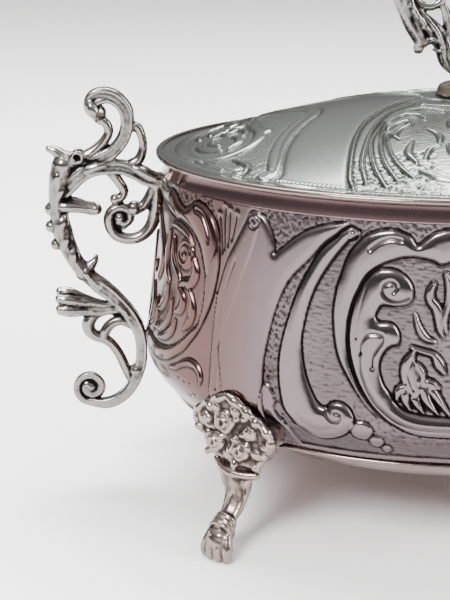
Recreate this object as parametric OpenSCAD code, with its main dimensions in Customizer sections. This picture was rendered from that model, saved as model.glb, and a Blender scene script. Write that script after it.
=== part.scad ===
// Covered sugar bowl: an oval chased vessel on four paw feet, with two cast scroll handles
// and a lift-off domed lid. Millimetres, +Z up, origin on the table under the middle.

/* [Bowl] */
// Length of the bowl at its widest
bowl_len = 172; // [120:1:260]
// Width of the bowl at its widest
bowl_wid = 131; // [90:1:200]
// Height of the widest part above the table
belly_z = 42.3; // [35:0.1:60]
// Height of the bowl's underside above the table
bottom_z = 11.3; // [8:0.1:20]
// Height of the border wire above the table
border_z = 29.2; // [24:0.1:34]
// How far the wall leans in, each side, from the widest part to the neck
lean_in = 5.6; // [0:0.1:12]
// Height from the widest part to the foot of the neck
wall_h = 47; // [30:0.5:80]
// Height of the plain neck band
neck_h = 4.7; // [3:0.1:12]
// How far the neck band tapers in, each side
neck_in = 1; // [0:0.1:3]
// Thickness of the bowl's sheet metal
wall_t = 1; // [0.6:0.1:2]
// Radius of the wire that covers the joint under the wall
border_r = 0.9; // [0.5:0.1:2]
// Fullness of the curve under the belly: 2 is an ellipse
under_power = 1.93; // [1.6:0.01:2.6]

/* [Lid] */
// How far the lid's edge stands out past the neck
lid_over = 2.65; // [1.5:0.05:6]
// Width of the wire round the lid's edge
edge_w = 1; // [0.8:0.1:2]
// Thickness of the lid's sheet metal
lid_t = 1; // [0.6:0.1:2]
// Rise of the lid's dome
dome_h = 14.3; // [6:0.1:40]
// Depth of the collar that holds the lid in the neck
collar_h = 5; // [3:0.1:12]
// Gap all round between the collar and the neck
collar_gap = 0.35; // [0.2:0.05:1]

/* [Finial] */
// Radius of the domed boss under the finial
boss_r = 8.5; // [6:0.1:14]
// Height of the boss
boss_h = 3.4; // [2:0.1:8]
// Half the spread of the finial's scrolls
finial_reach = 19; // [12:0.5:30]
// Height of the finial above its boss
finial_h = 40; // [25:0.5:60]
// Radius of the stud that holds the finial
stud_r = 1.5; // [1.2:0.1:2.5]
// Gap round the stud in the holes that it passes through
stud_gap = 0.15; // [0.05:0.05:0.4]

/* [Handles] */
// Size of the handles against the drawn pattern
handle_scale = 1; // [0.8:0.05:1.2]
// Thickness of the handle's rods against the drawn pattern
rod_scale = 1; // [0.8:0.05:1.25]

/* [Feet] */
// Angle round the oval from its end to each foot
foot_turn = 41; // [25:1:60]
// Half the width of the foot's rose plate
plate_half = 13; // [8:0.5:18]
// Radius of the leg at its ankle
ankle_r = 2.5; // [1.8:0.1:4]
// Radius of each toe
toe_r = 1.8; // [1.2:0.1:3]

/* [Hidden] */

oval_ratio = bowl_wid / bowl_len;
belly_a = bowl_len / 2;
under_h = belly_z - bottom_z;
neck_z = belly_z + wall_h;
neck_a = belly_a - lean_in;
mouth_z = neck_z + neck_h;
mouth_a = neck_a - neck_in;
mouth_in_a = mouth_a - wall_t;
mouth_in_b = mouth_a * oval_ratio - wall_t;

lid_z = mouth_z + lid_t;
lid_a = mouth_a + lid_over;
collar_a = mouth_in_a - collar_gap;
collar_b = mouth_in_b - collar_gap;
dome_a = collar_a - wall_t;
pad_a = boss_r / oval_ratio + 0.5;
dome_top = lid_z + dome_h * (1 - pow(pad_a / dome_a, 2));
boss_top = dome_top + boss_h;

washer_r = 2.6 * stud_r;
washer_t = 0.8;
nut_r = 2.1 * stud_r;
nut_t = 2.4;
stud_out = 1;

curve_steps = 14;
round_fn = 96;

// Half the length of the bowl's outer or inner face at height z, for metal grown by g.
function under_a(z, g) = (belly_a + g) *
    pow(max(0, 1 - pow((belly_z - z) / (under_h + g), under_power)), 1 / under_power);
function wall_a(z, g) = belly_a + g - lean_in * (z - belly_z) / wall_h;

// Points on the curve under the belly, from height z0 up to the belly, for metal grown by g.
function under_curve(z0, g) =
    let (sink = min(1, (belly_z - z0) / (under_h + g)), start = acos(pow(sink, under_power / 2)))
    [for (i = [0 : curve_steps])
        let (up = start + (90 - start) * i / curve_steps,
            depth = pow(cos(up), 2 / under_power),
            reach = pow(sin(up), 2 / under_power))
        [(belly_a + g) * reach, belly_z - (under_h + g) * depth]];

// A smooth curve through points of any length, with n steps from each point to the next.
function curve_at(p0, p1, p2, p3, t) = 0.5 * (2 * p1 + (p2 - p0) * t
    + (2 * p0 - 5 * p1 + 4 * p2 - p3) * t * t + (3 * p1 - p0 - 3 * p2 + p3) * t * t * t);
function curve(points, n) = let (last = len(points) - 1) concat(
    [for (i = [0 : last - 1], k = [0 : n - 1])
        curve_at(points[max(0, i - 1)], points[i], points[i + 1], points[min(last, i + 2)], k / n)],
    [points[last]]);

// Turns a half outline into an oval body, one quarter at a time.
module oval(ratio) {
    for (k = [0 : 3]) scale([1, ratio, 1]) rotate([0, 0, 90 * k])
        rotate_extrude(angle = 90, $fn = round_fn) children();
}

// The whole bowl as a solid block, for cutting what is soldered on to it.
module bowl_block(grow) {
    outline = concat([[0, bottom_z - grow]], under_curve(bottom_z - grow, grow),
        [[wall_a(neck_z, grow), neck_z], [mouth_a + grow, mouth_z], [0, mouth_z]]);
    oval(oval_ratio) polygon(outline);
    oval(oval_ratio) translate([under_a(border_z, grow), border_z]) circle(r = border_r, $fn = 16);
}

// Metal between the outer face and the inner face, both given as half outlines.
module shell(outer, inner) {
    inner_ratio = (belly_a * oval_ratio - wall_t) / (belly_a - wall_t);
    difference() {
        oval(oval_ratio) polygon(outer);
        oval(inner_ratio) polygon(inner);
    }
}

module bowl_wall() {
    over = 1;
    outer = concat([[0, border_z]], under_curve(border_z, 0), [[neck_a, neck_z], [0, neck_z]]);
    inner = concat([[0, border_z - over]], under_curve(border_z - over, -wall_t),
        [[wall_a(neck_z + over, -wall_t), neck_z + over], [0, neck_z + over]]);
    color("lightsteelblue") shell(outer, inner);
}

module bowl_bottom() {
    over = 1;
    below = [for (p = under_curve(bottom_z, 0)) if (p[1] < border_z - 0.2) p];
    hollow = [for (p = under_curve(bottom_z + wall_t, -wall_t)) if (p[1] < border_z + 0.2) p];
    outer = concat(below, [[under_a(border_z, 0), border_z], [0, border_z]]);
    inner = concat(hollow, [[under_a(border_z + over, -wall_t), border_z + over],
        [0, border_z + over]]);
    color("rosybrown") shell(outer, inner);
}

module neck_band() {
    over = 1;
    color("silver") difference() {
        oval(oval_ratio) polygon([[0, neck_z], [neck_a, neck_z], [mouth_a, mouth_z], [0, mouth_z]]);
        oval(mouth_in_b / mouth_in_a) translate([0, neck_z - over])
            square([mouth_in_a, neck_h + 2 * over]);
    }
}

module border_wire() {
    step = 0.1;
    slope = atan2(2 * step, under_a(border_z + step, 0) - under_a(border_z - step, 0));
    color("gainsboro") oval(oval_ratio) translate([under_a(border_z, 0), border_z])
        polygon([for (i = [0 : 6]) border_r * [cos(slope - 30 * i), sin(slope - 30 * i)]]);
}

// The handle's pattern. Each point is [out from the belly, up from the belly, rod radius].
stem = [[20, 49, 2.2], [22.3, 38, 2.2], [20.8, 27.5, 2.6], [12.5, 16, 2.4], [4, 7, 2],
    [0.9, -1, 1.8], [1.8, -9, 1.7], [6, -17, 1.6], [11.5, -19.8, 1.6], [17, -17.8, 1.5],
    [18.3, -14, 1.4], [15.5, -10.2, 1.4], [12, -11.4, 1.4], [12.4, -14.6, 1.8]];
arch = [[20, 43, 2.2], [14.5, 47, 2], [8, 48.2, 2], [1.5, 46.5, 1.9], [-6.5, 44.3, 2.2]];
crest = [[15, 49.5, 1.8], [7, 52.5, 1.7], [3.2, 59.5, 1.8], [5, 65.5, 1.8], [10, 67.3, 1.7],
    [13, 64.8, 1.6], [10.2, 62, 1.5]];
crest_leaf = [[14.5, 50.5, 1.3], [9.5, 54.5, 1.2], [8.3, 58.6, 1.3], [10.6, 60.6, 1.3]];
back_loop = [[2.6, 58.6, 1.2], [0.4, 58.2, 1.2], [-1, 54, 1.2], [0.2, 49.8, 1.3], [2.5, 48, 1.3]];
beak = [[16.5, 50.3, 3.4], [20.5, 51.3, 1.7], [23.4, 52.6, 0.8]];
wing = [[23, 37.5, 1.2], [18, 38, 1.6], [13.2, 36.6, 0.8]];
hook = [[7.5, 47, 1.4], [4.8, 42.6, 1.2], [6.6, 39.4, 1.5]];
ring_scroll = [[5.4, 33.4, 1.2], [3.4, 35.2, 1.1], [6, 36.6, 1.2], [8.6, 33.6, 1.3], [7, 29.8, 1.3],
    [2.6, 28.4, 1.3], [-1.6, 30.8, 1.4], [-3.6, 36.5, 1.5], [-4.2, 43, 1.8]];
ring_bud = [[-3, 41, 1.2], [-0.8, 38, 1.1], [1.6, 37, 1.6]];
thorn = [[16.5, 19.8, 1.4], [12.6, 23.4, 0.5]];
flower = [[7, 9, 1.5], [14, 9.3, 1.6], [19, 9.9, 2.8], [21.5, 10, 2.4]];
inner_curl = [[6.5, 8, 1.2], [13, 7.3, 1.3], [15.3, 3.6, 1.3], [11, 0, 1.3], [7, -5, 1.2],
    [4, -12, 1.1]];
small_curl = [[3.5, 3.8, 1.1], [7.4, 4.8, 1.2], [10.8, 2, 1.4]];
beads = [[24.8, 37, 1.4], [24.9, 32, 1.4], [23.9, 26.8, 1.4]];

// The right half of the finial. Each point is [out from the middle, up, rod radius], as shares
// of the finial's reach and height.
fin_leaf = [[0, 0.05, 2.6], [0.26, 0.08, 2.4], [0.6, 0.24, 2.4], [0.82, 0.48, 2.1],
    [0.9, 0.72, 1.9], [0.74, 0.92, 1.8], [0.42, 0.95, 1.7], [0.26, 0.82, 1.5], [0.42, 0.74, 1.4]];
fin_ring = [for (i = [0 : 8]) [0.58 + 0.2 * cos(45 * i), 0.55 + 0.1 * sin(45 * i), 1.4]];
fin_tips = [[[0.55, 0.2, 1.7], [0.7, 0.13, 0.9]], [[0.25, 0.1, 1.8], [0.33, 0.05, 0.9]]];
fin_bud = [[0, 0.06, 2.6], [0, 0.3, 1.5], [0, 0.58, 1.7], [0, 0.72, 2.8], [0, 0.86, 0.9]];

// A round rod through [out, up, radius] points, standing in the XZ plane.
module rod(points, n, grow) {
    path = curve(points, n);
    for (i = [0 : len(path) - 2]) hull() {
        translate([path[i][0], 0, path[i][1]]) sphere(r = path[i][2] * grow, $fn = 8);
        translate([path[i + 1][0], 0, path[i + 1][1]]) sphere(r = path[i + 1][2] * grow, $fn = 8);
    }
}

module handle() {
    difference() {
        translate([belly_a, 0, belly_z]) scale(handle_scale) {
            rod(stem, 3, rod_scale);
            for (line = [arch, crest, crest_leaf, back_loop, hook, ring_scroll, inner_curl])
                rod(line, 2, rod_scale);
            for (line = [beak, wing, ring_bud, thorn, flower, small_curl]) rod(line, 1, rod_scale);
            for (b = beads) translate([b[0], 0, b[1]]) sphere(r = b[2] * rod_scale, $fn = 8);
        }
        bowl_block(0);
    }
}

module handle_right() {
    color("darkgray") handle();
}

module handle_left() {
    color("darkgray") mirror([1, 0, 0]) handle();
}

// Foot pieces stand in the foot's own frame: X out from the wall, Y along it, Z up from the table.
foot_a = under_a((belly_z + bottom_z) / 2 + 5.8, 0);
foot_b = foot_a * oval_ratio;
foot_out = atan2(sin(foot_turn) / foot_b, cos(foot_turn) / foot_a);
plate_top = belly_z + 1;
plate_low = border_z - 4.2;
plate_mid = plate_low + 0.49 * (plate_top - plate_low);
leg = [[1.6, 21.5, 4.6], [0.6, 15.5, 3.2], [2.8, 11.6, 2.7], [7, 8, 2.5]];
rose_seats = [[-0.07, 0.6, 2.8], [-0.35, 0.22, 2.6], [0.25, 0.2, 2.6], [0.52, 0.5, 1.7],
    [0.62, 0.25, 1.5], [-0.62, 0.57, 2]];

// The flat back of the rose plate: a shield with its point up.
module rose_plate() {
    shoulder = plate_mid + 0.25 * (plate_top - plate_low);
    shield = [[0, plate_top], [0.62, shoulder], [1, plate_mid], [0.75, plate_low + 3.4],
        [0.42, plate_low], [-0.42, plate_low], [-0.75, plate_low + 3.4], [-1, plate_mid],
        [-0.62, shoulder]];
    points = [for (p = shield) [p[0] * plate_half, p[1] - plate_mid]];
    translate([4.6, 0, plate_mid]) rotate([0, 8, 0]) rotate([90, 0, 90]) translate([0, 0, -3.6])
        linear_extrude(3.6) polygon(points);
    for (p = rose_seats) translate([4.3 - 0.14 * (1 - p[1]) * (plate_top - plate_low),
        p[0] * plate_half, plate_low + p[1] * (plate_top - plate_low)])
        sphere(r = p[2], $fn = 12);
}

module foot() {
    leg_line = [for (p = leg) [p[0], p[1], p[1] > 10 ? p[2] : ankle_r]];
    difference() {
        rotate([0, 0, foot_out]) {
            intersection() {
                union() {
                    rose_plate();
                    hull() {
                        translate([1.8, 0, plate_low + 1]) scale([0.6, 1, 0.4]) sphere(5.4, $fn = 16);
                        translate([1.8, 0, plate_low - 3]) scale([0.6, 1, 0.3]) sphere(6.2, $fn = 16);
                    }
                    hull() {
                        translate([1.5, 0, plate_low + 4]) sphere(3.4, $fn = 12);
                        translate([-6, 0, plate_low + 3]) sphere(2.4, $fn = 12);
                    }
                    for (i = [0 : len(leg_line) - 2]) hull() for (k = [i, i + 1])
                        translate([leg_line[k][0], 0, leg_line[k][1]]) scale([0.75, 1, 0.8])
                            sphere(leg_line[k][2], $fn = 12);
                    hull() {
                        translate([7, 0, 7.4]) sphere(ankle_r + 0.4, $fn = 12);
                        translate([9.6, 0, 3.4]) scale([1, 1.1, 1]) sphere(3.6, $fn = 12);
                    }
                    for (k = [-1.5 : 1 : 1.5]) hull() {
                        translate([9.4, k * 1.9, 3.6]) sphere(toe_r, $fn = 10);
                        translate([13 - 0.4 * k * k, k * 2.1, 1.5]) sphere(toe_r, $fn = 10);
                    }
                }
                translate([-30, -30, 0]) cube(60);
            }
        }
        translate([-foot_a * cos(foot_turn), -foot_b * sin(foot_turn), 0]) bowl_block(0);
    }
}

// Places a foot at the front right; sx and sy of -1 take it to the left and to the front.
module foot_at(sx, sy) {
    color("slategray") mirror([sx < 0 ? 1 : 0, 0, 0]) mirror([0, sy < 0 ? 1 : 0, 0])
        translate([foot_a * cos(foot_turn), foot_b * sin(foot_turn), 0]) foot();
}

module foot_front_left() { foot_at(-1, -1); }
module foot_front_right() { foot_at(1, -1); }
module foot_back_left() { foot_at(-1, 1); }
module foot_back_right() { foot_at(1, 1); }

module lid_dome() {
    steps = 16;
    flange_a = lid_a - edge_w;
    top = [for (i = [0 : steps]) let (r = pad_a + (dome_a - pad_a) * i / steps)
        [r, lid_z + dome_h * (1 - pow(r / dome_a, 2))]];
    under = [for (i = [steps : -1 : 0]) [top[i][0], top[i][1] - lid_t]];
    color("darkseagreen") difference() {
        oval(oval_ratio) polygon(concat([[0, dome_top]], top, [[flange_a, lid_z],
            [flange_a, mouth_z]], under, [[0, dome_top - lid_t]]));
        translate([0, 0, dome_top - 2 * lid_t]) cylinder(r = stud_r + stud_gap, h = 3 * lid_t);
    }
}

module lid_edge_wire() {
    flange_a = lid_a - edge_w;
    color("gainsboro") oval(oval_ratio) polygon([[flange_a, mouth_z - 0.3],
        [lid_a - 0.4 * edge_w, mouth_z - 0.3], [lid_a, mouth_z + 0.2 * lid_t],
        [lid_a, mouth_z + 0.8 * lid_t], [lid_a - 0.4 * edge_w, lid_z + 0.2],
        [flange_a, lid_z + 0.2]]);
}

module lid_collar() {
    over = 1;
    color("lightgray") translate([0, 0, mouth_z - collar_h]) difference() {
        oval(collar_b / collar_a) square([collar_a, collar_h]);
        oval((collar_b - wall_t) / dome_a) translate([0, -over])
            square([dome_a, collar_h + 2 * over]);
    }
}

module finial_boss() {
    color("tan") translate([0, 0, dome_top]) difference() {
        rotate_extrude($fn = round_fn) polygon(concat([[0, 0], [boss_r, 0]],
            [for (i = [1 : 8]) [boss_r * cos(60 * i / 8), boss_h * sin(60 * i / 8) / sin(60)]],
            [[0, boss_h]]));
        translate([0, 0, -1]) cylinder(r = stud_r + stud_gap, h = boss_h + 2);
    }
}

module finial() {
    function sized(points) = [for (p = points) [p[0] * finial_reach, p[1] * finial_h, p[2]]];
    color("darkgray") translate([0, 0, boss_top]) intersection() {
        union() {
            for (side = [0, 1]) mirror([side, 0, 0]) {
                rod(sized(fin_leaf), 2, 1);
                rod(sized(fin_ring), 1, 1);
                for (tip = fin_tips) rod(sized(tip), 1, 1);
            }
            rod(sized(fin_bud), 2, 1);
            cylinder(r1 = 3.6, r2 = 2, h = 3, $fn = 24);
        }
        translate([-finial_h, -finial_h, 0]) cube([2 * finial_h, 2 * finial_h, 2 * finial_h]);
    }
}

module finial_stud() {
    low = dome_top - lid_t - washer_t - nut_t - stud_out;
    color("gray") translate([0, 0, low]) cylinder(r = stud_r, h = boss_top - low);
}

module finial_washer() {
    color("gray") translate([0, 0, dome_top - lid_t - washer_t]) difference() {
        cylinder(r = washer_r, h = washer_t);
        translate([0, 0, -1]) cylinder(r = stud_r + stud_gap, h = washer_t + 2);
    }
}

module finial_nut() {
    thread_gap = 0.05;
    color("dimgray") translate([0, 0, dome_top - lid_t - washer_t - nut_t]) difference() {
        cylinder(r = nut_r, h = nut_t, $fn = 6);
        translate([0, 0, -1]) cylinder(r = stud_r + thread_gap, h = nut_t + 2, $fn = 32);
    }
}

bowl_wall();
bowl_bottom();
neck_band();
border_wire();
handle_left();
handle_right();
foot_front_left();
foot_front_right();
foot_back_left();
foot_back_right();
lid_dome();
lid_edge_wire();
lid_collar();
finial_boss();
finial();
finial_stud();
finial_washer();
finial_nut();
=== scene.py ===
"""Covered silver sugar bowl: chased oval bowl and lid, cast scroll handles, finial and paw feet.

Lengths in the shape lists are millimetres. Meshes are in metres, in the frame of the part.
"""
import math

import bpy
import numpy as np
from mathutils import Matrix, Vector


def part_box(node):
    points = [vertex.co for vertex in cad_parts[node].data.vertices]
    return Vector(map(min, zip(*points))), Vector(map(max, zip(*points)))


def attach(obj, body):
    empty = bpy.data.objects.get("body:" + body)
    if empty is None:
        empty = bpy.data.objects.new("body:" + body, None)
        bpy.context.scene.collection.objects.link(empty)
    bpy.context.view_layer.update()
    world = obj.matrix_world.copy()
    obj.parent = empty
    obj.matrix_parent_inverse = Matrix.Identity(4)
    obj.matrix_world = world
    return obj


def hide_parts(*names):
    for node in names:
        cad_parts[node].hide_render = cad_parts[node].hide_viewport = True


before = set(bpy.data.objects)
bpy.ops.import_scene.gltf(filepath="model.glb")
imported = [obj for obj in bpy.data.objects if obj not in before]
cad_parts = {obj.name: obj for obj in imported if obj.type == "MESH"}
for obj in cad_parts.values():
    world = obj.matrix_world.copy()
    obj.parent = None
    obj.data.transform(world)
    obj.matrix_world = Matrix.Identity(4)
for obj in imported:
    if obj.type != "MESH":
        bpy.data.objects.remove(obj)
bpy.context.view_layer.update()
MM = 0.001


# ---------------------------------------------------------------- sizes, from the frame


def size_of(node):
    """Half length, half width, lowest and highest point of a node, in millimetres."""
    low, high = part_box(node)
    return high.x / MM, high.y / MM, low.z / MM, high.z / MM


BELLY_A, BELLY_B, BORDER_Z, NECK_Z = size_of("bowl_wall")
NECK_A, _, _, MOUTH_Z = size_of("neck_band")
LID_A, _, _, _ = size_of("lid_edge_wire")
LID_Z = MOUTH_Z + 1.0
FLANGE_A, FLANGE_B, _, _ = size_of("lid_dome")
BOSS_R, _, BOSS_Z, BOSS_TOP = size_of("finial_boss")
_, _, BOTTOM_Z, _ = size_of("bowl_bottom")
OVAL = BELLY_B / BELLY_A
BELLY_Z = 42.3
UNDER_POWER = 1.93
SHEET = 1.0
DOME_A = 77.0
DOME_H = 14.3
PAD_A = BOSS_R / OVAL + 0.5


def wall_half_length(z):
    """Half length of the bowl's outer face at height z."""
    up = BELLY_A + (NECK_A - BELLY_A) * (z - BELLY_Z) / (NECK_Z - BELLY_Z)
    sink = np.clip((BELLY_Z - z) / (BELLY_Z - BOTTOM_Z), 0.0, 1.0)
    under = BELLY_A * (1.0 - sink ** UNDER_POWER) ** (1.0 / UNDER_POWER)
    return np.where(z >= BELLY_Z, up, under)


def lid_height(r):
    """Height of the lid's top face where the oval's half length is r."""
    dome = LID_Z + DOME_H * (1.0 - (np.maximum(r, PAD_A) / DOME_A) ** 2)
    return np.where(r < DOME_A, dome, LID_Z)


TURN = np.radians(np.linspace(0.0, 90.0, 901))
ARC = np.concatenate([[0.0], np.cumsum(np.hypot(
    np.diff(BELLY_A * np.cos(TURN)), np.diff(BELLY_B * np.sin(TURN))))])
QUARTER = ARC[-1]


# ---------------------------------------------------------------- curves


def smooth(points, step=0.5):
    """Points of a smooth curve through the given points, about step apart."""
    p = np.array(points, float)
    if len(p) < 3:
        n = max(2, int(np.linalg.norm(p[-1][:2] - p[0][:2]) / step))
        return p[0] + (p[-1] - p[0]) * np.linspace(0.0, 1.0, n)[:, None]
    q = np.vstack([2 * p[0] - p[1], p, 2 * p[-1] - p[-2]])
    out = []
    for i in range(1, len(q) - 2):
        n = max(2, int(np.linalg.norm(q[i + 1][:2] - q[i][:2]) / step))
        t = (np.arange(n) / n)[:, None]
        out.append(0.5 * (2 * q[i] + (q[i + 1] - q[i - 1]) * t
                          + (2 * q[i - 1] - 5 * q[i] + 4 * q[i + 1] - q[i + 2]) * t ** 2
                          + (3 * q[i] - q[i - 1] - 3 * q[i + 1] + q[i + 2]) * t ** 3))
    return np.vstack(out + [p[-1:]])


def spiral(x, y, r_out, r_in, start, turns):
    """Points of a spiral round (x, y), from radius r_out in to r_in; angles in degrees."""
    n = max(6, int(abs(turns) * 14))
    t = np.linspace(0.0, 1.0, n)
    angle = np.radians(start + 360.0 * turns * t)
    r = r_out + (r_in - r_out) * t
    return [[x + a * math.cos(b), y + a * math.sin(b)] for a, b in zip(r, angle)]


def disc(x, y, r):
    """Outline of a round boss."""
    return np.array(spiral(x, y, r, r, 0, 1)[:-1])


# ---------------------------------------------------------------- chasing on a height field

class Relief:
    """A height field in millimetres over a flat patch, worked with hammer and chasing tools."""

    def __init__(self, x0, x1, y0, y1, step, level):
        self.step = step
        self.level = level
        self.x = np.arange(x0, x1 + step, step)
        self.y = np.arange(y0, y1 + step, step)
        self.h = np.full((len(self.y), len(self.x)), float(level))
        self.raised = np.zeros(self.h.shape)
        self.rng = np.random.default_rng(7)

    def distance(self, line, reach):
        """Distance to a line of points, and the line's third value there, within reach."""
        far = np.full(self.h.shape, 1e3)
        width = np.zeros(self.h.shape)
        wide = line.shape[1] > 2
        for a, b in zip(line[:-1], line[1:]):
            lo = np.minimum(a[:2], b[:2]) - reach
            hi = np.maximum(a[:2], b[:2]) + reach
            i0, i1 = np.searchsorted(self.x, [lo[0], hi[0]])
            j0, j1 = np.searchsorted(self.y, [lo[1], hi[1]])
            if i0 >= i1 or j0 >= j1:
                continue
            dx, dy = b[0] - a[0], b[1] - a[1]
            px = self.x[None, i0:i1] - a[0]
            py = self.y[j0:j1, None] - a[1]
            t = np.clip((px * dx + py * dy) / max(dx * dx + dy * dy, 1e-9), 0.0, 1.0)
            d = np.hypot(px - t * dx, py - t * dy)
            near = d < far[j0:j1, i0:i1]
            far[j0:j1, i0:i1][near] = d[near]
            if wide:
                w = a[2] + (b[2] - a[2]) * t
                width[j0:j1, i0:i1][near] = w[near]
        return far, width

    def inside(self, line):
        """Which cells lie inside a closed outline."""
        grid = np.zeros(self.h.shape, bool)
        x, y = line[:, 0], line[:, 1]
        for j, level in enumerate(self.y):
            cross = (y > level) != (np.roll(y, -1) > level)
            if not cross.any():
                continue
            ya, yb = y[cross], np.roll(y, -1)[cross]
            xa, xb = x[cross], np.roll(x, -1)[cross]
            at = np.sort(xa + (level - ya) * (xb - xa) / (yb - ya))
            for left, right in zip(at[::2], at[1::2]):
                i0, i1 = np.searchsorted(self.x, [left, right])
                grid[j, i0:i1] = True
        return grid

    def swell(self, outline, height, edge, chased=0.22):
        """Raises the inside of a closed outline to a soft pillow, with a chased line round it."""
        line = np.array(outline, float)
        closed = np.vstack([line, line[:1]])
        far, _ = self.distance(closed, edge + 0.8)
        inside = self.inside(line)
        rise = np.sqrt(np.clip(1.0 - (1.0 - np.clip(far / edge, 0.0, 1.0)) ** 2, 0.0, 1.0))
        self.h = np.where(inside, self.h + height * rise, self.h)
        self.raised = np.where(inside, 1.0, self.raised)
        self.h -= chased * np.exp(-(far / 0.28) ** 2)

    def rib(self, points, height, chased=0.2):
        """Raises a round-topped rib along [x, y, half width] points."""
        line = smooth(points, 0.4)
        reach = float(line[:, 2].max()) + 0.8
        far, width = self.distance(line, reach)
        width = np.maximum(width, 0.15)
        on = far < width
        rise = np.sqrt(np.clip(1.0 - (far / width) ** 2, 0.0, 1.0))
        self.h = np.where(on, np.maximum(self.h, self.level + height * rise), self.h)
        self.raised = np.where(on, 1.0, self.raised)
        self.h -= chased * np.exp(-((far - width) / 0.24) ** 2)

    def chase(self, points, depth=0.3, width=0.26):
        """Sinks a line drawn with a tracer tool."""
        far, _ = self.distance(smooth(points, 0.4), 1.2)
        self.h -= depth * np.exp(-(far / width) ** 2)

    def crease(self, points, depth, width):
        """A wide soft valley along a line."""
        far, _ = self.distance(smooth(points, 0.5), 3 * width)
        self.h -= depth * np.exp(-(far / width) ** 2)

    def dots(self, points, depth, radius):
        """Round punch marks."""
        for x, y in points:
            i0, i1 = np.searchsorted(self.x, [x - 3 * radius, x + 3 * radius])
            j0, j1 = np.searchsorted(self.y, [y - 3 * radius, y + 3 * radius])
            d = np.hypot(self.x[None, i0:i1] - x, self.y[j0:j1, None] - y)
            self.h[j0:j1, i0:i1] -= depth * np.exp(-(d / radius) ** 2)

    def mat(self, region, spacing, depth, radius):
        """Scatters matting-punch marks over the ground inside a region mask."""
        ground = region & (self.raised < 0.5)
        width, height = self.x[-1] - self.x[0], self.y[-1] - self.y[0]
        count = int(width * height / spacing ** 2)
        x = self.x[0] + self.rng.random(count) * width
        y = self.y[0] + self.rng.random(count) * height
        i = np.clip(((x - self.x[0]) / self.step).astype(int), 0, len(self.x) - 1)
        j = np.clip(((y - self.y[0]) / self.step).astype(int), 0, len(self.y) - 1)
        keep = ground[j, i]
        self.dots(list(zip(x[keep], y[keep])), depth, radius)

    def hatch(self, region, spacing, depth):
        """Fine, slightly wavering horizontal tool lines over the ground inside a region mask."""
        ground = region & (self.raised < 0.5)
        gx, gy = np.meshgrid(self.x, self.y)
        wave = gy + 0.2 * np.sin(gx * 0.7) + 0.1 * np.sin(gx * 1.9 + gy)
        lines = np.abs(np.sin(math.pi * wave / spacing)) ** 2
        broken = 0.5 + 0.5 * np.sin(gx * 0.8 + 4.0 * np.sin(gy * 2.3))
        self.h -= np.where(ground, depth * lines * broken, 0.0)

    def plain(self, outline, level):
        """Planishes the ground inside an outline smooth, at a level of its own."""
        inside = self.inside(smooth(outline + outline[:1])[:-1])
        self.h = np.where(inside & (self.raised < 0.5), level, self.h)
        self.raised = np.where(inside, 1.0, self.raised)

    def soften(self, passes=1):
        """Rounds the edges a little, as polishing does."""
        for _ in range(passes):
            p = np.pad(self.h, 1, mode="edge")
            self.h = (p[:-2, 1:-1] + p[2:, 1:-1] + p[1:-1, :-2] + p[1:-1, 2:] + 4 * self.h) / 8

    def blurred(self, reach):
        """The height field averaged over a square of about reach each way."""
        n = max(1, int(reach / self.step))
        p = np.pad(self.h, n, mode="edge")
        total = np.pad(np.cumsum(np.cumsum(p, 0), 1), ((1, 0), (1, 0)))
        m = 2 * n + 1
        return (total[m:, m:] - total[:-m, m:] - total[m:, :-m] + total[:-m, :-m]) / (m * m)

    def sample(self, field, x, y):
        """Values of a field between its cells."""
        u = np.clip((x - self.x[0]) / self.step, 0, len(self.x) - 1.001)
        v = np.clip((y - self.y[0]) / self.step, 0, len(self.y) - 1.001)
        i, j = u.astype(int), v.astype(int)
        a, b = u - i, v - j
        return ((field[j, i] * (1 - a) + field[j, i + 1] * a) * (1 - b)
                + (field[j + 1, i] * (1 - a) + field[j + 1, i + 1] * a) * b)


# ---------------------------------------------------------------- the bowl's chased wall

CELL = 0.16
WALL_GROUND = -0.95
CENTRE = QUARTER


def wall_relief():
    """One quarter of the bowl's wall: x runs along the belly from the left end, y is height."""
    w = Relief(0.0, QUARTER, BORDER_Z, NECK_Z, CELL, WALL_GROUND)
    chase_foot_panel(w)
    chase_tall_rib(w)
    chase_front_frame(w)
    chase_front_foliage(w)
    end_strip = chase_end_frame(w)
    chase_end_foliage(w)
    work_wall_ground(w, end_strip)
    return w


def chase_foot_panel(w):
    """The plain upright panel over the foot, and the planished ground beside it."""
    foot_panel = [[50, 85], [47.5, 80], [45.5, 76], [44, 71], [43, 66], [42.8, 55], [43.2, 41],
                  [44, 29], [61, 29], [59.7, 41], [59, 50], [59.2, 56], [61, 65.7],
                  [64, 73.3], [69.3, 79.3], [72.7, 83.3], [76, 85.7], [79, 88.3], [74, 87.8],
                  [70, 86.6], [67, 85.2], [64, 83], [61, 80.5], [59.6, 79.3], [59.2, 81.5],
                  [58.3, 84], [56.5, 86.7], [54.5, 88], [51.5, 88.2]]
    w.plain([[36, 62], [43, 52], [50, 70], [54, 89.4], [38, 89.4], [42, 80]], -0.72)
    w.plain([[-2, 28], [-2, 44], [20, 44], [30, 48], [40, 60], [44, 58], [44.5, 28]], -0.72)
    w.plain([[58, 28], [67, 28], [66, 36], [63, 40], [62, 46], [59, 46]], -0.6)
    w.swell(smooth(foot_panel + foot_panel[:1])[:-1], 0.5, 2.2, chased=0.26)
    w.chase(spiral(52.8, 85.8, 2.0, 0.4, 180, -1.6), 0.35)
    w.chase([[45.6, 43], [45.2, 55], [45.6, 66], [46.6, 71], [48.2, 76]], 0.25)


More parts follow.
